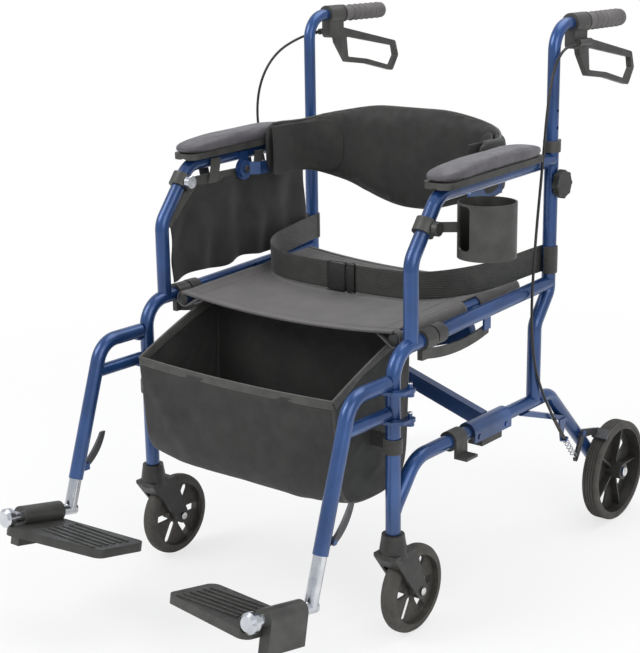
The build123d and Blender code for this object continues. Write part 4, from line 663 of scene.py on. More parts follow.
class Looks:
    """The chair's finishes, each named for its material and how it was made."""

    # steel tube in metallic blue powder coat: saturated, with soft bright lines of gloss
    frame_blue = PowderCoat("metallic_blue_powder_coat", "#12325f", "#234d88", (0.26, 0.38),
                            metallic=0.45, patch=0.12, grain=0.0022, relief=0.12, coat=0.6,
                            coat_gloss=0.18, worn="#6f86b4", worn_share=0.3)
    # polished aluminium tube: almost white, streaked along its length
    bright_tube = DrawnMetal("polished_drawn_aluminium", "#b9bcc2", "#dfe1e4", (0.16, 0.3),
                             metallic=1.0, patch=0.04, relief=0.08)
    # soft PVC grip: mid grey, matt, finely grained
    grip_rubber = CastRubber("moulded_soft_pvc_grip", "#575454", "#6a6666", (0.5, 0.68),
                             patch=0.03, grain=0.0016, relief=0.3, dust="#77736f")
    # glass-filled nylon from a spark-eroded mould: charcoal with a satin grain
    black_plastic = Finish("moulded_black_nylon", "#262624", "#343431", (0.36, 0.52),
                           patch=0.035, grain=0.0013, relief=0.22, worn="#6a6964",
                           worn_share=0.35)
    # extruded PVC sheath: black, smooth, slightly glossy
    cable_sheath = Finish("extruded_pvc_sheath", "#151515", "#222222", (0.3, 0.42),
                          patch=0.02, grain=0.001, relief=0.1)
    # vinyl leathercloth on the arm pads: mid grey with a cool cast
    pad_vinyl = Leathercloth("pebbled_grey_leathercloth", "#4a474c", "#5b585d", (0.42, 0.58),
                             patch=0.03, grain=0.0018, relief=0.35, sheen=0.15)
    # cast polyurethane tyre: warm dark grey, matt
    tyre_grey = CastRubber("cast_polyurethane_tyre", "#3a3733", "#4a4742", (0.55, 0.75),
                           patch=0.02, grain=0.002, relief=0.3, dust="#68635d")
    # moulded polypropylene wheel centre: warm dark grey, satin
    wheel_grey = Finish("moulded_polypropylene_wheel", "#2c2b28", "#3a3935", (0.38, 0.55),
                        patch=0.03, grain=0.0014, relief=0.22, worn="#5f5c57", worn_share=0.3)
    # cross brace in black powder coat: near black, low gloss, rubbed at the edges
    dark_steel = Finish("black_powder_coated_steel", "#161618", "#232326", (0.34, 0.5),
                        patch=0.05, grain=0.002, relief=0.15, coat=0.25, coat_gloss=0.3,
                        worn="#6f7076", worn_share=0.3)
    # coiled music wire with zinc plating
    spring_steel = DrawnMetal("zinc_plated_wire", "#9a9ca0", "#c9cbce", (0.25, 0.4),
                              metallic=1.0, patch=0.01, relief=0.1)
    # polyester seat cloth with a rubbed coating: warm grey with a soft sheen
    seat_cloth = WovenCloth("coated_polyester_seat_cloth", "#413e3d", "#575351", (0.5, 0.66),
                            patch=0.07, grain=0.0012, relief=0.35, depth=0.0004, sheen=0.3)
    # nylon bag and back cloth: charcoal with a green-grey cast and a dry surface
    bag_cloth = WovenCloth("woven_nylon_bag_cloth", "#1b1b19", "#2c2c29", (0.6, 0.78),
                           patch=0.06, grain=0.0014, relief=0.45, depth=0.0004, sheen=0.12)
    # polypropylene webbing: black with fine ribs
    webbing = RibbedWebbing("woven_polypropylene_webbing", "#21211f", "#353530", (0.5, 0.66),
                            patch=0.03, grain=0.0012, relief=0.5, depth=0.0004, sheen=0.2)
    # folded cloth binding: the bag cloth again, paler where it rubs
    binding = WovenCloth("folded_cloth_binding", "#2b2b28", "#45443e", (0.5, 0.68),
                         patch=0.03, grain=0.0012, relief=0.5, depth=0.0004, sheen=0.3)
    # sewing thread: spun polyester, black-grey
    thread = Finish("spun_polyester_thread", "#3b3b38", "#57564f", (0.6, 0.75),
                    patch=0.004, grain=0.0008, relief=0.4)
    # nickel-plated rivet and bolt heads: white metal with a soft mirror
    plated_head = DrawnMetal("nickel_plated_rivet_head", "#c6c5c0", "#eceae6", (0.14, 0.26),
                             metallic=1.0, patch=0.01, relief=0.06)
    # acetal buckle: black, smoother and glossier than the nylon, with a pale painted highlight
    # along its edges
    buckle = Finish("moulded_acetal_buckle", "#191918", "#262625", (0.24, 0.36),
                    patch=0.02, grain=0.0012, relief=0.12, worn="#8b8a86", worn_share=0.5)

    @classmethod
    def by_slot(cls) -> dict[str, Finish]:
        """From each of the record's material slots to its finish."""
        slots = [m["slot"] for m in frame["record"]["materials"]]
        return {slot: getattr(cls, slot) for slot in slots}


def cleared(owner: bpy.types.Material | bpy.types.World) -> Tree:
    """The owner's own shader tree, emptied."""
    owner.use_nodes = True
    owner.node_tree.nodes.clear()
    return owner.node_tree


def dress(piece: Piece, finish: Finish) -> Piece:
    """Gives a piece one finish."""
    piece.data.materials.clear()
    piece.data.materials.append(finish.material())
    named = [slot for slot, look in Looks.by_slot().items() if look is finish]
    return piece


@dataclass
class CarriedNodes:
    """The rigid pieces that come from the solid model and only need their finish."""

    def build(self) -> None:
        """Puts each slot's finish on the nodes that carry it."""
        finishes = Looks.by_slot()
        for part in frame["record"]["subparts"]:
            piece = frame["nodes"][part["node"]]
            piece.data.materials.clear()
            piece.data.materials.append(finishes[part["material_slot"]].material())
        log.info("dressed %d carried nodes", len(frame["nodes"]))


# Soft goods, cables and small fittings


@dataclass
class Frame:
    """Places on the folding frame that the soft goods are made to."""

    half: float = 0.2765
    stem_y: float = -0.3515
    upright_y: float = 0.1305
    seat_z: float = 0.501
    seat_slope: float = 0.04564
    tube_x: float = 0.2365
    brace_y: float = -0.076
    brace_tube_z: float = 0.5136
    fold_keep: float = 0.82

    def tube_z(self, y: np.ndarray | float) -> np.ndarray | float:
        """Height of the seat tubes' middle line: straight, rising towards the back."""
        return self.brace_tube_z + self.seat_slope * (y - self.brace_y)

    def crumple(self, piece: Piece, body: str = "left_frame") -> None:
        """A soft piece rides its body, with its own copy of its mesh."""
        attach(piece, body)
        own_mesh(piece)


@dataclass
class SeatSling:
    """Seat cloth stretched between the two seat tubes, hemmed round each."""

    frame: Frame
    front_y: float = -0.296
    rear_y: float = 0.074
    cradle_gaps: tuple[float, ...] = (-0.281, -0.243, -0.098, -0.054)
    sag: float = 0.014
    wrap_r: float = 0.0133
    thick: float = 0.0018
    flap: float = 0.036
    flap_lift: float = 0.006
    ripple: float = 0.0008
    ripple_length: float = 0.017
    roll_size: tuple[float, float] = (0.009, 0.0042)
    seam_inset: float = 0.018
    margin: float = 0.004
    cell: float = 0.006

    def top(self, x: np.ndarray, y: np.ndarray) -> np.ndarray:
        """Points of the sheet: the tubes' tops less a parabola across, with faint pulls.

        The pulls are a sine along the seat that fades with the distance from a tube.
        """
        share = 1 - (x / self.frame.tube_x) ** 2
        pulls = self.ripple * np.sin(y / self.ripple_length) * np.exp(-share * 6) * share
        z = self.frame.tube_z(y) + self.wrap_r - (self.sag * share + pulls)
        return np.stack([x, y, z], axis=-1)

    def build(self) -> None:
        """The sheet, its hems with gaps for the cradles, the edge rolls and the stitching."""
        tube_x = self.frame.tube_x
        y, x = np.meshgrid(np.linspace(self.front_y, self.rear_y, 75),
                           np.linspace(-tube_x, tube_x, 97), indexing="ij")
        sheet = surface("seat_sling_cloth", self.top(x, y))
        thicken(sheet, self.thick)
        dress(sheet, Looks.seat_cloth)
        runs = np.reshape([self.front_y, *self.cradle_gaps, self.rear_y], (-1, 2))
        hems = joined("seat_sling_hems", [self.hem(side, *run) for side in (-1, 1)
                                          for run in runs])
        thicken(hems, self.thick)
        dress(hems, Looks.seat_cloth)
        rolls = joined("seat_sling_edge_rolls", [self.roll(self.front_y), self.roll(self.rear_y)])
        dress(rolls, Looks.seat_cloth)
        thread = dress(joined("seat_sling_stitches", self.seams()), Looks.thread)
        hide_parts("seat_sling")
        start, end = (-tube_x, 0, 0.5), (tube_x, 0, 0.5)
        for piece in (sheet, hems, rolls, thread):
            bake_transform(piece)
            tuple(start)
            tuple(end)
        log.info("seat sling built")

    def hem(self, side: int, front: float, rear: float) -> Piece:
        """The cloth round one tube between two gaps: most of a turn, then a flap underneath."""
        turn = np.linspace(radians(90), radians(285), 26)
        across = np.concatenate([self.wrap_r * np.cos(turn),
                                 np.linspace(self.margin, self.flap, 8)])
        up = np.concatenate([self.wrap_r * np.sin(turn),
                             np.linspace(-self.wrap_r, self.wrap_r - self.flap_lift, 8)])
        y = np.linspace(front, rear, max(int((rear - front) / self.cell), 4))
        shape = (len(y), len(across))
        return surface(f"hem_{side}", np.stack([
            np.broadcast_to(side * (self.frame.tube_x - across), shape),
            np.broadcast_to(y[:, None], shape), self.frame.tube_z(y)[:, None] + up[None]], axis=-1))

    def roll(self, y: float) -> Piece:
        """The folded edge across the seat, a slim flat roll along the sheet's end."""
        x = np.linspace(-self.frame.tube_x, self.frame.tube_x, 60)
        return strap(f"roll_{y}", self.top(x, np.full_like(x, y)), self.roll_size, ALONG)

    def seams(self) -> list[Piece]:
        """Stitches just behind both rolled edges, and along both hems' flaps."""
        tube_x, cell = self.frame.tube_x, self.cell
        x = np.linspace(-tube_x + self.margin, tube_x - self.margin, 90)
        y = np.linspace(self.front_y + cell, self.rear_y - cell, 90)
        lines = [(x, np.full_like(x, at)) for at in (self.front_y + self.seam_inset,
                                                     self.rear_y - self.seam_inset)]
        lines += [(np.full_like(y, side * (tube_x - self.flap + self.margin)), y)
                  for side in (-1, 1)]
        return [stitches(f"seam_{k}", self.top(*line) + np.array([0, 0, self.thick / 2]), UP)
                for k, line in enumerate(lines)]


@dataclass
class StorageBag:
    """Open bag under the seat: two end panels and one long cloth round front, floor and back."""

    frame: Frame
    half: float = 0.216
    front_y: float = -0.429
    back_y: float = -0.224
    low_z: float = 0.238
    lean: float = 0.012
    front_z: float = 0.422
    front_dip: float = 0.006
    back_z: float = 0.494
    round_r: float = 0.062
    wall: float = 0.0022
    bulge: float = 0.013
    puff: float = 0.007
    end_front_y: float = -0.42876
    piping_r: float = 0.0028
    rim_tape: tuple[float, float] = (0.006, 0.016)
    edge_tape: tuple[float, float] = (0.005, 0.015)
    loop_size: tuple[float, float] = (0.026, 0.0022)
    leg_loop_r: float = 0.0148
    leg_loop_z: float = 0.346
    rail_loop_r: float = 0.0162
    rail_loop_y: float = -0.231
    rail_loop_z: float = 0.4875
    leg_loop_end: float = 0.013
    loop_tuck: float = 0.001
    seam_drop: float = 0.011
    seam_out: float = 0.0016
    seam_margin: float = 0.004
    seed: int = 7
    fold_count: int = 26
    fold_high: float = 0.0035

    def outline(self, count: int) -> np.ndarray:
        """The end panel's outline, front top corner down, round, along and up the back.

        Straight runs joined by quarter turns: a quadratic spline pulls each corner.
        """
        r, lean, low = self.round_r, self.lean, self.low_z
        front, back = self.front_y, self.back_y
        route = np.array([[0, front, self.front_z], [0, front + lean / 2, low + 2 * r],
                          [0, front + lean, low + 0.5 * r], [0, front + lean + 0.5 * r, low],
                          [0, back - lean - 0.5 * r, low], [0, back - lean, low + 0.5 * r],
                          [0, back - lean / 2, low + 2 * r], [0, back, self.back_z]])
        return even_path(smooth_path(route, 10), count)[:, 1:]

    def folds(self, across: np.ndarray, along: np.ndarray) -> np.ndarray:
        """Slack folds in the cloth: ridges of seeded places, slants and lengths.

        Each ridge is a bell across its own line times a longer bell along it.
        """
        rng, count = np.random.default_rng(self.seed), self.fold_count
        at = np.stack([rng.uniform(-1, 1, count), rng.uniform(0.02, 0.95, count)])
        slant = rng.uniform(-0.7, 0.7, count)
        long_ = rng.uniform(0.25, 0.6, count)
        thin = rng.uniform(0.025, 0.07, count)
        high = rng.uniform(-self.fold_high, self.fold_high, count)
        du = across[..., None] - at[0]
        dv = (along[..., None] - at[1]) * 1.6
        near = dv * np.cos(slant) - du * np.sin(slant)
        far = dv * np.sin(slant) + du * np.cos(slant)
        return np.sum(high * np.exp(-(near / thin) ** 2 - (far / long_) ** 2), axis=-1)

    def long_panel(self) -> Piece:
        """The outline carried from end to end, bulged outwards between the end panels."""
        line = self.outline(96)
        x = np.linspace(-self.half, self.half, 121)
        share = x / self.half
        ahead = unit(np.gradient(line, axis=0))
        out = np.stack([ahead[:, 1], -ahead[:, 0]], axis=-1)
        middle = np.mean(line, axis=0)
        out = out * np.sign(np.sum(out * (line - middle), axis=1, keepdims=True))
        v = np.linspace(0, 1, len(line))
        across, along = np.meshgrid(share, v)
        bulge = self.bulge * np.sin(pi * np.clip(along * 1.05, 0, 1)) * (1 - across ** 4)
        bulge = bulge + self.folds(across, along) * (1 - across ** 8)
        dip = self.front_dip * (1 - across ** 2) * np.clip(1 - along * 5, 0, 1) ** 1.5
        return surface("bag_long_panel", np.stack([
            np.broadcast_to(x, across.shape), line[:, None, 0] + out[:, None, 0] * bulge,
            line[:, None, 1] + out[:, None, 1] * bulge - dip], axis=-1))

    def rim(self, share: np.ndarray) -> np.ndarray:
        """Height of an end panel's top edge from front to back: a quarter-round, then flat.

        It leaves the front corner steeply and eases into the back corner's height.
        """
        rise = 1 - (1 - np.clip(share / 0.95, 0, 1)) ** 1.25
        return self.front_z + (self.back_z - self.front_z) * np.clip(rise, 0, 1)

    def end_panel(self, side: int) -> Piece:
        """One end: rows run from front to back between the outline's floor and the top edge."""
        line = self.outline(160)
        turn = int(np.argmin(np.abs(line[:, 0] - (self.front_y + self.back_y) / 2)))
        front, back = line[:turn + 1], line[turn:]
        share = (1 - np.cos(pi * np.linspace(0.0, 1.0, 48))) / 2
        y = self.end_front_y + (self.back_y - self.end_front_y) * share
        low = np.maximum(np.interp(y, front[:, 0], front[:, 1], right=0.0),
                         np.interp(y, back[:, 0], back[:, 1], left=0.0))
        low = np.minimum(low, self.rim(share))
        t, across = np.meshgrid(np.linspace(0, 1, 40), share)
        z = low[:, None] + (self.rim(share) - low)[:, None] * t
        puff = self.puff * np.sin(pi * across) * np.sin(pi * t) ** 0.7
        wrinkle = self.folds(2 * across - 1, t) * 0.8 * np.sin(pi * across)
        return surface(f"bag_end_{side}", np.stack([
            side * (self.half + puff + wrinkle), np.broadcast_to(y[:, None], z.shape), z], axis=-1))

    def bindings(self) -> list[Piece]:
        """Folded tape round each end panel and along the front and back edges."""
        made = []
        line = self.outline(120)
        share = np.linspace(0, 1, 40)
        rim_y = self.end_front_y + (self.back_y - self.end_front_y) * share
        for side in (-1, 1):
            low = np.insert(line, 0, side * self.half, axis=1)
            made.append(tube(f"end_piping_{side}", low, self.piping_r, ACROSS))
            top = np.stack([np.full(len(share), side * self.half), rim_y, self.rim(share)], axis=-1)
            made.append(strap(f"rim_tape_{side}", top, self.rim_tape, ACROSS))
        x = np.linspace(-self.half, self.half, 80)
        for y, z, dip in ((self.front_y, self.front_z, self.front_dip),
                          (self.back_y, self.back_z, 0.0)):
            edge = np.stack([x, np.full_like(x, y), z - dip * (1 - (x / self.half) ** 2)], axis=-1)
            made.append(strap(f"edge_tape_{y}", edge, self.edge_tape, ALONG))
        return made

    def loops(self, side: int) -> list[Piece]:
        """Webbing round one front leg and one seat rail that holds the bag up."""
        made = []
        half, stem_y = self.frame.half, self.frame.stem_y
        turn = np.linspace(radians(150), radians(390), 30)
        r, z = self.leg_loop_r, self.leg_loop_z
        leg = np.stack([side * (half + r * np.cos(turn)), stem_y + r * np.sin(turn),
                        np.full_like(turn, z)], axis=-1)
        inner = np.array([[side * (self.half - self.loop_tuck), stem_y + self.leg_loop_end, z]])
        made.append((np.concatenate([inner, leg, inner + np.array([[0, 0.003, 0]])]), UP))
        turn = np.linspace(radians(-75), radians(235), 34)
        r, y, z = self.rail_loop_r, self.rail_loop_y, self.rail_loop_z
        rail_z = self.frame.seat_z + self.frame.seat_slope * (y - stem_y)
        over = np.stack([side * (half + r * np.cos(turn)), np.full_like(turn, y),
                         rail_z + r * np.sin(turn)], axis=-1)
        ends = np.array([[side * (half - 0.006), y, z],
                         [side * (self.half + self.loop_tuck), y, z]])
        made.append((np.concatenate([over, ends]), ALONG))
        return [strap(f"loop_{k}", even_path(route, 60), self.loop_size, way)
                for k, (route, way) in enumerate(made)]

    def build(self) -> None:
        """Shell, bindings, webbing loops and the rows of stitching."""
        shell = joined("storage_bag_shell", [self.long_panel(), self.end_panel(-1),
                                             self.end_panel(1)])
        thicken(shell, self.wall, -1.0)
        dress(shell, Looks.bag_cloth)
        tapes = dress(joined("storage_bag_bindings", self.bindings()), Looks.binding)
        for side in (-1, 1):
            word = SIDES[side]
            straps = dress(joined(f"storage_bag_{word}_loops", self.loops(side)), Looks.webbing)
            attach(straps, f"{word}_frame")
        reach = self.half - self.seam_margin
        x = np.linspace(-reach, reach, 90)
        z = self.front_z - self.seam_drop - self.front_dip * (1 - (x / self.half) ** 2)
        seam = np.stack([x, np.full_like(x, self.front_y - self.seam_out), z], axis=-1)
        thread = dress(stitches("storage_bag_stitches", seam, (0, -1, 0)), Looks.thread)
        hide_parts("storage_bag")
        for piece in (shell, tapes, thread):
            self.frame.crumple(piece)
        log.info("storage bag built")


@dataclass
class BackrestPad:
    """Padded back, high in the middle, whose wings wrap forward over the two arms."""

    frame: Frame
    outer: float = 0.2459
    back_y: float = 0.107
    end_y: float = -0.054
    bend_r: float = 0.110
    thick: float = 0.022
    low_z: float = 0.632
    top_z: float = 0.830
    wing_low_z: float = 0.697
    wing_top_z: float = 0.795
    level_to: float = 0.05
    wing_from: float = 0.27
    swelling: float = 0.006
    slack: float = 0.003
    cell: float = 0.0058
    pressure: float = 4.0
    piping_r: float = 0.0024
    piping_near: float = 0.0065
    piping_sink: float = 0.0008
    none_near: float = -9.0
    pocket_wall: float = 0.002
    pocket_gap: float = 0.0035
    pocket_reach: float = 0.168
    pocket_round: float = 0.055
    pocket_puff: float = 0.0025

    def plan(self, inset: float, count: int) -> np.ndarray:
        """Middle line in plan: forward, round a quarter turn, across, and back again."""
        half, back, r = (size - inset for size in (self.outer, self.back_y, self.bend_r))
        turn = np.linspace(0, pi / 2, 24)
        corner = np.stack([half - r + r * np.cos(turn), back - r + r * np.sin(turn)], axis=-1)
        right = np.concatenate([[[half, self.end_y]], corner])
        line = np.concatenate([right * [-1, 1], right[::-1]])
        return even_path(np.insert(line, 2, 0.0, axis=1), count)

    def heights(self, line: np.ndarray, grow: float) -> tuple[np.ndarray, np.ndarray]:
        """Middle height and tallness along a line in plan.

        Both edges are level in the middle and eased by cosines to the wings.
        """
        far = np.abs(line[:, 0]) + np.clip(self.back_y - self.thick - line[:, 1], 0, None)
        top_ease, low_ease = ((1 - np.cos(pi * np.clip((far - start) / (self.wing_from - start),
                                                       0, 1))) / 2 for start in (self.level_to, 0))
        top = self.top_z + (self.wing_top_z - self.top_z) * top_ease + grow
        low = self.low_z + (self.wing_low_z - self.low_z) * low_ease - grow
        return (low + top) / 2, top - low

    def cover(self) -> Piece:
        """The closed cover: sections carried along the plan, rounded in at both ends."""
        line = self.plan(self.thick / 2, 150)
        ease = np.clip((1 - np.abs(np.linspace(-1, 1, len(line)))) * 9, 0, 1)
        round_in = np.sqrt(np.clip(1 - (1 - ease) ** 2.6, 0.01, 1))
        middle, tall = self.heights(line, self.slack)
        tall = tall * (0.62 + 0.38 * round_in) * np.where(ease < 0.02, 0.8, 1)
        profile = oval(self.thick - 2 * self.swelling * 0.4, 1.0, 48, (0.75, 0.55))
        ahead = unit(np.gradient(line, axis=0))
        out = np.stack([ahead[:, 1], -ahead[:, 0], np.zeros(len(line))], axis=-1)
        wide = profile[None, :, :1] * (0.25 + 0.75 * round_in)[:, None, None]
        high = middle[:, None, None] + profile[None, :, 1:] * tall[:, None, None]
        return solid("backrest_pad_cover", line[:, None] + out[:, None] * wide
                     + np.array(UP) * high)

    def edge(self, cover: Piece, sign: int) -> np.ndarray:
        """The line of the piping: the cover's own highest or lowest place along the plan.

        The heights found near each place are evened by a running mean.

        Args:
            cover: the filled cover.
            sign: one for the upper edge, minus one for the lower.

        Returns:
            Places along the edge, just under the cover's surface.
        """
        places = vertices(cover.data).astype(float)
        line = self.plan(self.thick / 2, 90)[3:-3]
        far = np.hypot(*(places[None, :, k] - line[:, None, k] for k in (0, 1)))
        found = sign * np.where(far < self.piping_near, sign * places[None, :, 2],
                                self.none_near).max(axis=1)
        line[:, 2] = np.convolve(np.pad(found, 2, mode="edge"), np.ones(5) / 5, mode="valid")
        line[:, 2] -= sign * self.piping_sink
        return line

    def pocket(self, side: int) -> Piece:
        """The flap that covers an arm inside the wing: a thin panel with a rounded end."""
        line = self.plan(self.thick + self.pocket_gap, 240)
        line = line if side < 0 else line[::-1]
        length = walked(line)
        near = length < self.pocket_reach
        line, length = line[near], length[near]
        middle, tall = self.heights(line, -self.slack)
        end = np.clip((self.pocket_reach - length) / self.pocket_round, 0, 1)
        shrink = np.sqrt(1 - (1 - end) ** 2)[:, None]
        t = np.linspace(-0.5, 0.5, 24)[None]
        z = middle[:, None] + tall[:, None] * shrink * t
        puff = self.pocket_puff * np.cos(pi * t) * shrink
        inward = unit(np.stack([-line[:, 0], -(line[:, 1] + 0.05), np.zeros(len(line))], axis=-1))
        return surface(f"wing_pocket_{side}", np.stack(
            [line[:, None, k] + inward[:, None, k] * puff for k in (0, 1)] + [z], axis=-1))

    def build(self) -> None:
        """Cover filled by simulation, then piping and wing pockets."""
        cover = self.cover()
        swell(cover, self.cell, self.pressure, self.swelling)
        edges = [self.edge(cover, 1), self.edge(cover, -1)]
        subdivide(cover)
        finish_cover(cover, Looks.bag_cloth)
        piping = joined("backrest_pad_piping", [tube("piping", edge, self.piping_r, UP)
                                                for edge in edges])
        dress(piping, Looks.binding)
        pockets = joined("backrest_pad_pockets", [self.pocket(-1), self.pocket(1)])
        thicken(pockets, self.pocket_wall)
        dress(pockets, Looks.bag_cloth)
        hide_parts("backrest_pad")
        for piece in (cover, piping, pockets):
            self.frame.crumple(piece, "backrest")
        log.info("backrest pad built")


def finish_cover(cover: Piece, finish: Finish) -> None:
    """Maps, smooths and dresses a filled cover."""
    cover.data.polygons.foreach_set("use_smooth", np.ones(len(cover.data.polygons), bool))
    map_by_box(cover)
    dress(cover, finish)


@dataclass
class ArmPad:
    """One armrest cushion: leathercloth over foam on its plastic base."""

    side: int
    cell: float = 0.0036
    pressure: float = 3.0
    swelling: float = 0.0035
    inset: float = 0.001
    height: float = 0.0205

    def cover(self, node: str) -> Piece:
        """The closed cover between the base and the crown.

        Its plan is a superellipse with long straight sides, and each level is that plan
        drawn in by a quarter round at the foot and a flatter round over the top.
        """
        low, high = (np.array(corner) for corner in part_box(node))
        half_w, half_l, tilt = (high - low) / [2, 2, 1] - [self.inset, self.inset, self.height]
        plan = oval(2 * half_w, 2 * half_l, 96, (0.62, 0.3))
        level = np.linspace(0, 1, 14)
        draw = np.concatenate([[0.72, 0.93], 0.93 + 0.07 * np.sin(pi / 2 * level[:6] * 2),
                               np.cos(pi / 2 * level ** 1.15)[1:] ** 0.42])
        rise = np.concatenate([[0.0, 0.0], 0.1 + 0.3 * level[:6],
                               0.4 + 0.6 * np.sin(pi / 2 * level ** 0.9)[1:]])
        slope = (tilt - self.inset / 2) / (high[1] - low[1])
        xy = ((low + high) / 2)[:2] + np.maximum(draw, 0.02)[:, None, None] * plan[None]
        z = low[2] + slope * (xy[..., 1] - low[1]) + rise[:, None] * self.height
        return solid(f"{SIDES[self.side]}_armrest_cushion", np.concatenate([xy, z[..., None]],
                                                                           axis=-1))

    def build(self) -> None:
        """The cover, filled by simulation."""
        word = SIDES[self.side]
        node = f"{word}_armrest_pad"
        cover = self.cover(node)
        swell(cover, self.cell, self.pressure, self.swelling)
        subdivide(cover)
        finish_cover(cover, Looks.pad_vinyl)
        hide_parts(node)
        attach(cover, f"{word}_frame")
        log.info("%s armrest cushion built", word)


@dataclass
class SeatBelt:
    """Lap belt: webbing from upright to upright, with the buckle at its middle."""

    frame: Frame
    size: tuple[float, float] = (0.050, 0.0024)
    side_z: float = 0.566
    middle_z: float = 0.545
    front_y: float = -0.126
    tube_clear: float = 0.0135
    loop_r: float = 0.0144
    bar_x: float = 0.027
    bar_half: float = 0.004
    bar_r: float = 0.0016
    bar_out: float = 0.0065
    bar_rise: float = 0.052
    seam_inset: float = 0.004
    seam_out: float = 0.0016

    def line(self) -> np.ndarray:
        """The belt's middle line, from the right upright to the left one, smooth at its turns."""
        y, z, side_z, rear = self.front_y, self.middle_z, self.side_z, self.frame.upright_y
        reach = self.frame.half - self.tube_clear
        half = np.array([[0.02, y, z], [0.10, y, z + 0.001], [0.175, y + 0.008, z + 0.004],
                         [0.232, y + 0.075, z + 0.010], [reach - 0.012, 0.03, side_z - 0.006],
                         [reach - 0.002, rear - 0.02, side_z], [reach, rear, side_z]])
        route = np.concatenate([(half * [-1, 1, 1])[::-1], half])
        return even_path(smooth_path(route, 14), 260)

    def strap(self, line: np.ndarray) -> Piece:
        """Webbing carried along the line with its width upright, waving a little."""
        s = np.linspace(0, 1, len(line))
        wave = 0.10 * np.sin(7 * pi * s) * np.sin(pi * s)
        lean = np.stack([wave, np.zeros_like(s), np.ones_like(s)], axis=-1)
        return strap("seat_belt_webbing", line, self.size, lean)

    def loop(self, side: int) -> Piece:
        """The sewn loop round one upright, with its end lying on the belt."""
        turn = np.linspace(radians(-100), radians(180), 40)
        around = np.stack([side * (self.frame.half + self.loop_r * np.cos(turn)),
                           self.frame.upright_y + self.loop_r * np.sin(turn),
                           np.full_like(turn, self.side_z)], axis=-1)
        return strap(f"belt_loop_{side}", around, self.size, UP)

    def buckle(self) -> list[Piece]:
        """Side-release buckle: a socket, a plug with two springs, and a keeper bar each side."""
        y, z = self.front_y - 0.001, self.middle_z
        ends = np.array([0.86, 0.97, 1.0, 1.0, 0.97, 0.86])
        along = np.array([0.0, 0.06, 0.16, 0.84, 0.94, 1.0])
        pieces = []
        for x0, x1, size in ((-0.030, 0.010, (0.056, 0.0125)), (0.013, 0.030, (0.056, 0.0095)),
                             (0.004, 0.018, (0.040, 0.0075))):
            line = np.stack([x0 + (x1 - x0) * along, np.full(6, y), np.full(6, z)], axis=-1)
            body = strap_profile(size, 32)[None] * ends[:, None, None]
            pieces.append(solid(f"buckle_{x0}", carried(line, body, UP)))
        y = self.front_y - self.bar_out
        for x in (-self.bar_x, self.bar_x):
            for level in (-0.5, 0.5):
                at = z + level * self.bar_rise
                bar = np.array([[x - self.bar_half, y, at], [x + self.bar_half, y, at]])
                pieces.append(tube(f"keeper_{x}_{level}", even_path(bar, 4), self.bar_r, UP))
        return pieces

    def build(self) -> None:
        """Webbing with its loops and sewn crosses, and the buckle."""
        line = self.line()
        webbing = joined("seat_belt_strap", [self.strap(line)])
        map_by_box(webbing)
        dress(webbing, Looks.webbing)
        for side, word in SIDES.items():
            loop = joined(f"seat_belt_{word}_loop", [self.loop(side)])
            map_by_box(loop)
            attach(dress(loop, Looks.webbing), f"{word}_frame")
        out = np.cross(unit(np.gradient(line, axis=0)), np.array(UP))
        rise = self.size[0] / 2 - self.seam_inset
        seams = [stitches("belt_seam", line[a:b] + out[a:b] * self.seam_out
                          + np.array([0, 0, edge * rise]), out[a:b])
                 for a, b in ((112, 118), (142, 148), (6, 24), (236, 254)) for edge in (-1, 1)]
        thread = dress(joined("seat_belt_stitches", seams), Looks.thread)
        buckle = joined("seat_belt_buckle", self.buckle())
        moulded = buckle.modifiers.new("moulded_edges", "BEVEL")
        moulded.width = 0.0008
        moulded.segments = 2
        dress(buckle, Looks.buckle)
        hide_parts("seat_belt")
        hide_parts("belt_buckle")
        for piece in (webbing, thread, buckle):
            self.frame.crumple(piece)
        log.info("seat belt built")


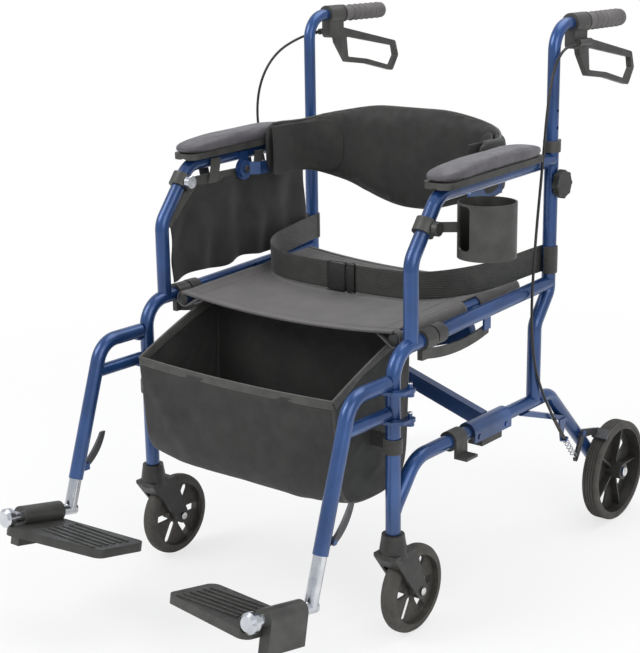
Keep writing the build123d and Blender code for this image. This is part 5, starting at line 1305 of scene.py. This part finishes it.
@dataclass
class SidePouch:
    """Cloth hung from the right armrest tube, slack and folded."""

    frame: Frame
    front_y: float = -0.286
    rear_y: float = 0.096
    low_z: float = 0.528
    top_front_z: float = 0.630
    top_rear_z: float = 0.706
    level_y: float = -0.215
    off_x: float = 0.005
    folds: int = 5
    fold_d: float = 0.009
    slack: float = 0.0035
    body: float = 0.010
    wall: float = 0.0016
    tape: tuple[float, float] = (0.0055, 0.018)
    loop_size: tuple[float, float] = (0.026, 0.002)
    loop_shares: tuple[float, ...] = (0.3, 0.62, 0.94)
    tube_z: float = 0.738
    tube_y: float = -0.228
    tube_slope: float = 0.307

    def top(self, y: np.ndarray) -> np.ndarray:
        """Height of the upper edge, which follows the armrest tube and then stays level."""
        rise = np.clip((y - self.front_y) / (self.level_y - self.front_y), 0, 1)
        return self.top_front_z + (self.top_rear_z - self.top_front_z) * rise ** 0.7

    def panel(self, face: int) -> Piece:
        """One face of the pouch: standing folds that deepen towards the bottom.

        Its place out is half a fold's depth times a cosine along it, plus slanted slack
        ridges.
        """
        t, u = np.meshgrid(np.linspace(0, 1, 56), np.linspace(0, 1, 130))
        y = self.front_y + (self.rear_y - self.front_y) * u
        bottom = self.low_z + 0.014 * u + 0.008 * np.sin(9 * u) ** 2
        z = bottom + (self.top(y) - bottom) * t
        folds = self.fold_d / 2 * np.cos(2 * pi * self.folds * u) * (1.0 - 0.75 * t)
        slack = self.slack * np.sin(16 * u - 5.5 * t) * np.sin(pi * t)
        hang = self.body / 2 * np.sin(pi * u) * np.sin(pi * t) ** 0.6
        x = -self.frame.half + self.off_x + face * hang + folds + slack
        return surface(f"pouch_face_{face}", np.stack([x, y, z], axis=-1))

    def loops(self) -> list[Piece]:
        """Three hanging loops over the armrest tube, each with a leg on both its sides."""
        made = []
        for share in self.loop_shares:
            y = self.front_y + (self.rear_y - self.front_y) * share
            level = self.tube_z + self.tube_slope * (y - self.tube_y)
            level = min(level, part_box("side_pouch")[1][2] - 0.002)
            for side in (-1, 1):
                leg = np.array([[side * 0.006, y, self.top_rear_z - 0.01],
                                [side * 0.016, y, self.top_rear_z + 0.012],
                                [side * 0.017, y, level]]) - [self.frame.half, 0, 0]
                made.append(strap("pouch_loop", even_path(smooth_path(leg), 16),
                                  self.loop_size, ALONG))
        return made

    def build(self) -> None:
        """Two faces, a bound upper edge and three hanging loops."""
        faces = joined("side_pouch_panels", [self.panel(-1), self.panel(1)])
        thicken(faces, self.wall)
        dress(faces, Looks.bag_cloth)
        y = np.linspace(self.front_y, self.rear_y, 60)
        top = np.stack([np.full_like(y, self.off_x - self.frame.half), y, self.top(y)], axis=-1)
        tape = strap("edge_tape", top, self.tape, ACROSS)
        trim = dress(joined("side_pouch_trim", [tape] + self.loops()), Looks.binding)
        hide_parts("side_pouch")
        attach(faces, "right_frame")
        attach(trim, "right_frame")
        log.info("side pouch built")


@dataclass
class BrakeCable:
    """One brake cable: sheath from the lever housing down to the stop at the wheel."""

    side: int
    length: float
    radius: float = 0.0025
    ferrule_wall: float = 0.0011
    port_x: float = 0.2935

    def route(self) -> np.ndarray:
        """The route's points, which the sheath follows as one smooth line."""
        left = np.array([[293.5, 198, 950], [293.5, 150, 950], [293.5, 108, 925], [293.5, 84, 860],
                         [293.5, 72, 757], [293.5, 50, 600], [293.5, 42, 454], [293.5, 75.6, 330],
                         [293.5, 176, 212]]) / 1000
        right = np.array([[293.5, 198, 950], [293.5, 140, 950], [320, 60, 910], [350, 45, 820],
                          [330, 46, 700], [293.5, 48, 560], [293.5, 42, 454], [293.5, 75.6, 330],
                          [293.5, 176, 212]]) / 1000
        return left if self.side > 0 else right * [-1, 1, 1]

    def build(self) -> None:
        """Sheath and its two end ferrules."""
        name, side_like = SIDES[self.side], (1, 0, 0.01)
        line = spline_line(self.route())
        sheath = dress(tube(f"{name}_brake_cable_sheath", line, self.radius, side_like, 12),
                       Looks.cable_sheath)
        ends = [tube("ferrule", even_path(part, 6), self.radius + self.ferrule_wall, side_like, 12)
                for part in (line[:5], line[-5:])]
        ferrules = dress(joined(f"{name}_brake_cable_ferrules", ends), Looks.black_plastic)
        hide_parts(f"{name}_brake_cable")
        for piece in (sheath, ferrules):
            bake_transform(piece)
        log.info("%s brake cable built", name)


@dataclass
class SmallFittings:
    """Plated heads, tube plugs and grip rings, each riding the body that it is fixed to."""

    frame: Frame
    axle_z: float = 0.1
    axle_head: tuple[float, float] = (0.0092, 0.0026)
    caster_head: tuple[float, float] = (0.0068, 0.0022)
    pin_top: tuple[float, float] = (0.0044, 0.0024)
    bolt_head: tuple[float, float] = (0.0075, 0.0034)
    plug: tuple[float, float] = (0.0108, 0.0035)
    pin_place: tuple[float, float] = (0.3015, -0.3395)
    pin_levels: tuple[float, float] = (0.4523, 0.4030)
    bolt_place: tuple[float, float, float] = (0.2529, -0.092, 0.713)
    plug_ends: tuple[float, float] = (-0.294, 0.072)
    handle_z: float = 0.984
    grip_y: tuple[float, float] = (0.262, 0.352)
    grip_r: float = 0.0150
    rings: int = 6
    ring_high: float = 0.0015
    ring_half: float = 0.0022

    def dome(self, size: tuple[float, float], base: tuple, axis: tuple) -> Piece:
        """A low domed head: its radius shrinks as the root of one less its height squared."""
        radius, high = size
        t = np.linspace(0, 1, 8)
        radii = radius * np.sqrt(np.maximum(1 - (0.98 * t) ** 2, 0))
        profile = np.stack([np.concatenate([[radius * 0.92], radii]),
                            np.concatenate([[-0.0004], high * (0.2 + 0.8 * t)])], axis=-1)
        return turned("dome", profile, base, axis)

    def axle_heads(self, side: int) -> list[Piece]:
        """The bright head on the rear axle."""
        face = max(abs(corner[0]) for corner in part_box(f"{SIDES[side]}_side_frame"))
        place = (side * face, -self.frame.stem_y, self.axle_z)
        return [self.dome(self.axle_head, place, (side, 0, 0))]

    def caster_heads(self, side: int) -> list[Piece]:
        """Bright heads on both ends of the caster's axle."""
        fork, wheel = (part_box(f"{SIDES[side]}_caster_{part}") for part in ("fork", "wheel"))
        y, z = ((wheel[0][k] + wheel[1][k]) / 2 for k in (1, 2))
        return [self.dome(self.caster_head, (fork[end][0], y, z), (2 * end - 1, 0, 0))
                for end in (0, 1)]

    def hinge_pins(self, side: int) -> list[Piece]:
        """Bright tops of the two pins that the leg rest hangs on."""
        x, y = self.pin_place
        return [self.dome(self.pin_top, (side * x, y, level), UP) for level in self.pin_levels]

    def disc_bolt(self, side: int) -> list[Piece]:
        """The black domed bolt at the back's pivot, on the disc's inner face."""
        x, y, z = self.bolt_place
        return [self.dome(self.bolt_head, (side * x, y, z), (-side, 0, 0))]

    def tube_plugs(self, side: int) -> list[Piece]:
        """Plastic plugs in both ends of one seat tube."""
        x = side * self.frame.tube_x
        return [self.dome(self.plug, (x, y, self.frame.tube_z(y)), (0, way, 0.0456 * way))
                for y, way in zip(self.plug_ends, (-1, 1))]

    def grip_rings(self, side: int) -> list[Piece]:
        """Moulded rings round the grip: a bell across the grip's length, turned about it."""
        t = np.linspace(-1, 1, 7)
        profile = np.stack([self.grip_r + self.ring_high * np.cos(pi / 2 * t),
                            self.ring_half * t], axis=-1)
        return [turned("ring", profile, (side * self.frame.half, y, self.handle_z), ALONG, 28)
                for y in np.linspace(*self.grip_y, self.rings)]

    def build(self) -> None:
        """Every fitting on both sides, dressed and riding its body."""
        for side, word in SIDES.items():
            tube_body = "brace_b" if side > 0 else "brace_a"
            for name, made, finish, body in (
                    ("axle_head", self.axle_heads, Looks.plated_head, f"{word}_frame"),
                    ("caster_axle_heads", self.caster_heads, Looks.plated_head, f"{word}_fork"),
                    ("hinge_pin_tops", self.hinge_pins, Looks.plated_head, f"{word}_frame"),
                    ("back_pivot_bolt", self.disc_bolt, Looks.black_plastic, f"{word}_frame"),
                    ("seat_tube_plugs", self.tube_plugs, Looks.black_plastic, tube_body),
                    ("grip_rings", self.grip_rings, Looks.grip_rubber, f"{word}_handle")):
                piece = dress(joined(f"{word}_{name}", made(side)), finish)
                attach(piece, body)
        log.info("small fittings built")


@dataclass
class Studio:
    """Camera at the photograph's viewpoint, soft lamps, pale floor and backdrop."""

    lens: float = 84.55
    sensor: float = 36.0
    azimuth: float = 38.925
    elevation: float = 15.182
    roll: float = -0.855
    eye: tuple[float, float, float] = (1.6273, -2.2072, 1.1689)
    floor_half: float = 12.0
    fade: tuple[float, float] = (0.9, 2.0)
    near_white: float = 0.72

    def camera(self) -> None:
        """The camera: three square directions from azimuth, elevation and roll."""
        az, el, roll = radians(self.azimuth), radians(self.elevation), radians(self.roll)
        right = np.array([np.cos(az), np.sin(az), 0])
        back = np.array([np.sin(az) * np.cos(el), -np.cos(az) * np.cos(el), np.sin(el)])
        up = np.cross(back, right)
        turned_right = right * np.cos(roll) + up * np.sin(roll)
        turned_up = up * np.cos(roll) - right * np.sin(roll)
        data = bpy.data.cameras.new("photo_camera")
        data.sensor_fit = "HORIZONTAL"
        data.sensor_width = self.sensor
        data.lens = self.lens
        data.clip_end = 50
        eye = linked("photo_camera", data)
        eye.matrix_world = Matrix([*zip(turned_right, turned_up, back, self.eye), (0, 0, 0, 1)])
        bpy.context.scene.camera = eye

    def lamp(self, name: str, place: tuple, size: float, power: float) -> None:
        """A square soft lamp at a place, turned to the chair's middle."""
        data = bpy.data.lights.new(name, "AREA")
        data.shape = "SQUARE"
        data.size = size
        data.energy = power
        lamp = linked(name, data)
        lamp.location = place
        towards = Vector((0, 0, 0.5)) - Vector(place)
        lamp.rotation_euler = towards.to_track_quat("-Z", "Y").to_euler()

    def backdrop(self) -> None:
        """White world for the camera, paler grey for reflections and softer as a light."""
        world = bpy.data.worlds.new("white_studio")
        bpy.context.scene.world = world
        tree = cleared(world)
        path = add_node(tree, "LightPath").outputs
        white, half, soft = (
            add_node(tree, "Background", {"Color": colour, "Strength": strength}).outputs[0]
            for colour, strength in (((1, 1, 1, 1), 1.0), (linear("#e6e9ef"), 0.8),
                                     (linear("#f3f4f6"), 0.62)))
        seen = sum_of(tree, "MAXIMUM", path["Is Camera Ray"], path["Is Glossy Ray"])
        first = add_node(tree, "MixShader", {0: seen, 1: soft, 2: half}).outputs[0]
        both = add_node(tree, "MixShader", {0: path["Is Camera Ray"], 1: first, 2: white})
        add_node(tree, "OutputWorld", {"Surface": both.outputs[0]})

    def floor(self) -> None:
        """Matt floor with shadows, which fades to white for the camera further out."""
        x, y = np.meshgrid(*[np.linspace(-self.floor_half, self.floor_half, 5)] * 2, indexing="ij")
        floor = surface("studio_floor", np.stack([x, y, np.zeros_like(x)], axis=-1))
        finish = bpy.data.materials.new("matt_white_studio_floor")
        tree = cleared(finish)
        matt = add_node(tree, "BsdfDiffuse", {"Color": linear("#f4f4f4")}).outputs[0]
        glow = add_node(tree, "Emission", {"Color": (1, 1, 1, 1), "Strength": 1.0}).outputs[0]
        place = add_node(tree, "TexCoord").outputs["Object"]
        away = add_node(tree, "VectorMath", {0: place}, operation="LENGTH").outputs["Value"]
        share = sum_of(tree, "MULTIPLY", add_node(tree, "LightPath").outputs["Is Camera Ray"],
                       ranged(tree, away, *self.fade, self.near_white, 1.0))
        mix = add_node(tree, "MixShader", {0: share, 1: matt, 2: glow})
        add_node(tree, "OutputMaterial", {"Surface": mix.outputs[0]})
        floor.data.materials.append(finish)

    def build(self) -> None:
        """Camera, lamps, backdrop, floor and the plain view transform."""
        self.camera()
        self.lamp("key_softbox", place=(-1.6, -2.6, 3.0), size=2.0, power=62)
        self.lamp("fill_softbox", place=(3.0, -1.4, 1.9), size=2.2, power=34)
        self.lamp("top_softbox", place=(0.4, 0.8, 3.2), size=2.4, power=40)
        self.backdrop()
        self.floor()
        bpy.context.scene.view_settings.view_transform = "Standard"
        log.info("studio built")


def main() -> None:
    """Builds the classes in order."""
    logging.basicConfig(level=logging.INFO, format="%(name)s: %(message)s")
    chair = Frame()
    CarriedNodes().build()
    SeatSling(chair).build()
    StorageBag(chair).build()
    BackrestPad(chair).build()
    for side in SIDES:
        ArmPad(side).build()
        BrakeCable(side, CABLE_LENGTHS[side]).build()
    SeatBelt(chair).build()
    SidePouch(chair).build()
    SmallFittings(chair).build()
    Studio().build()
    bpy.context.view_layer.update()


if __name__ == "__main__":
    main()
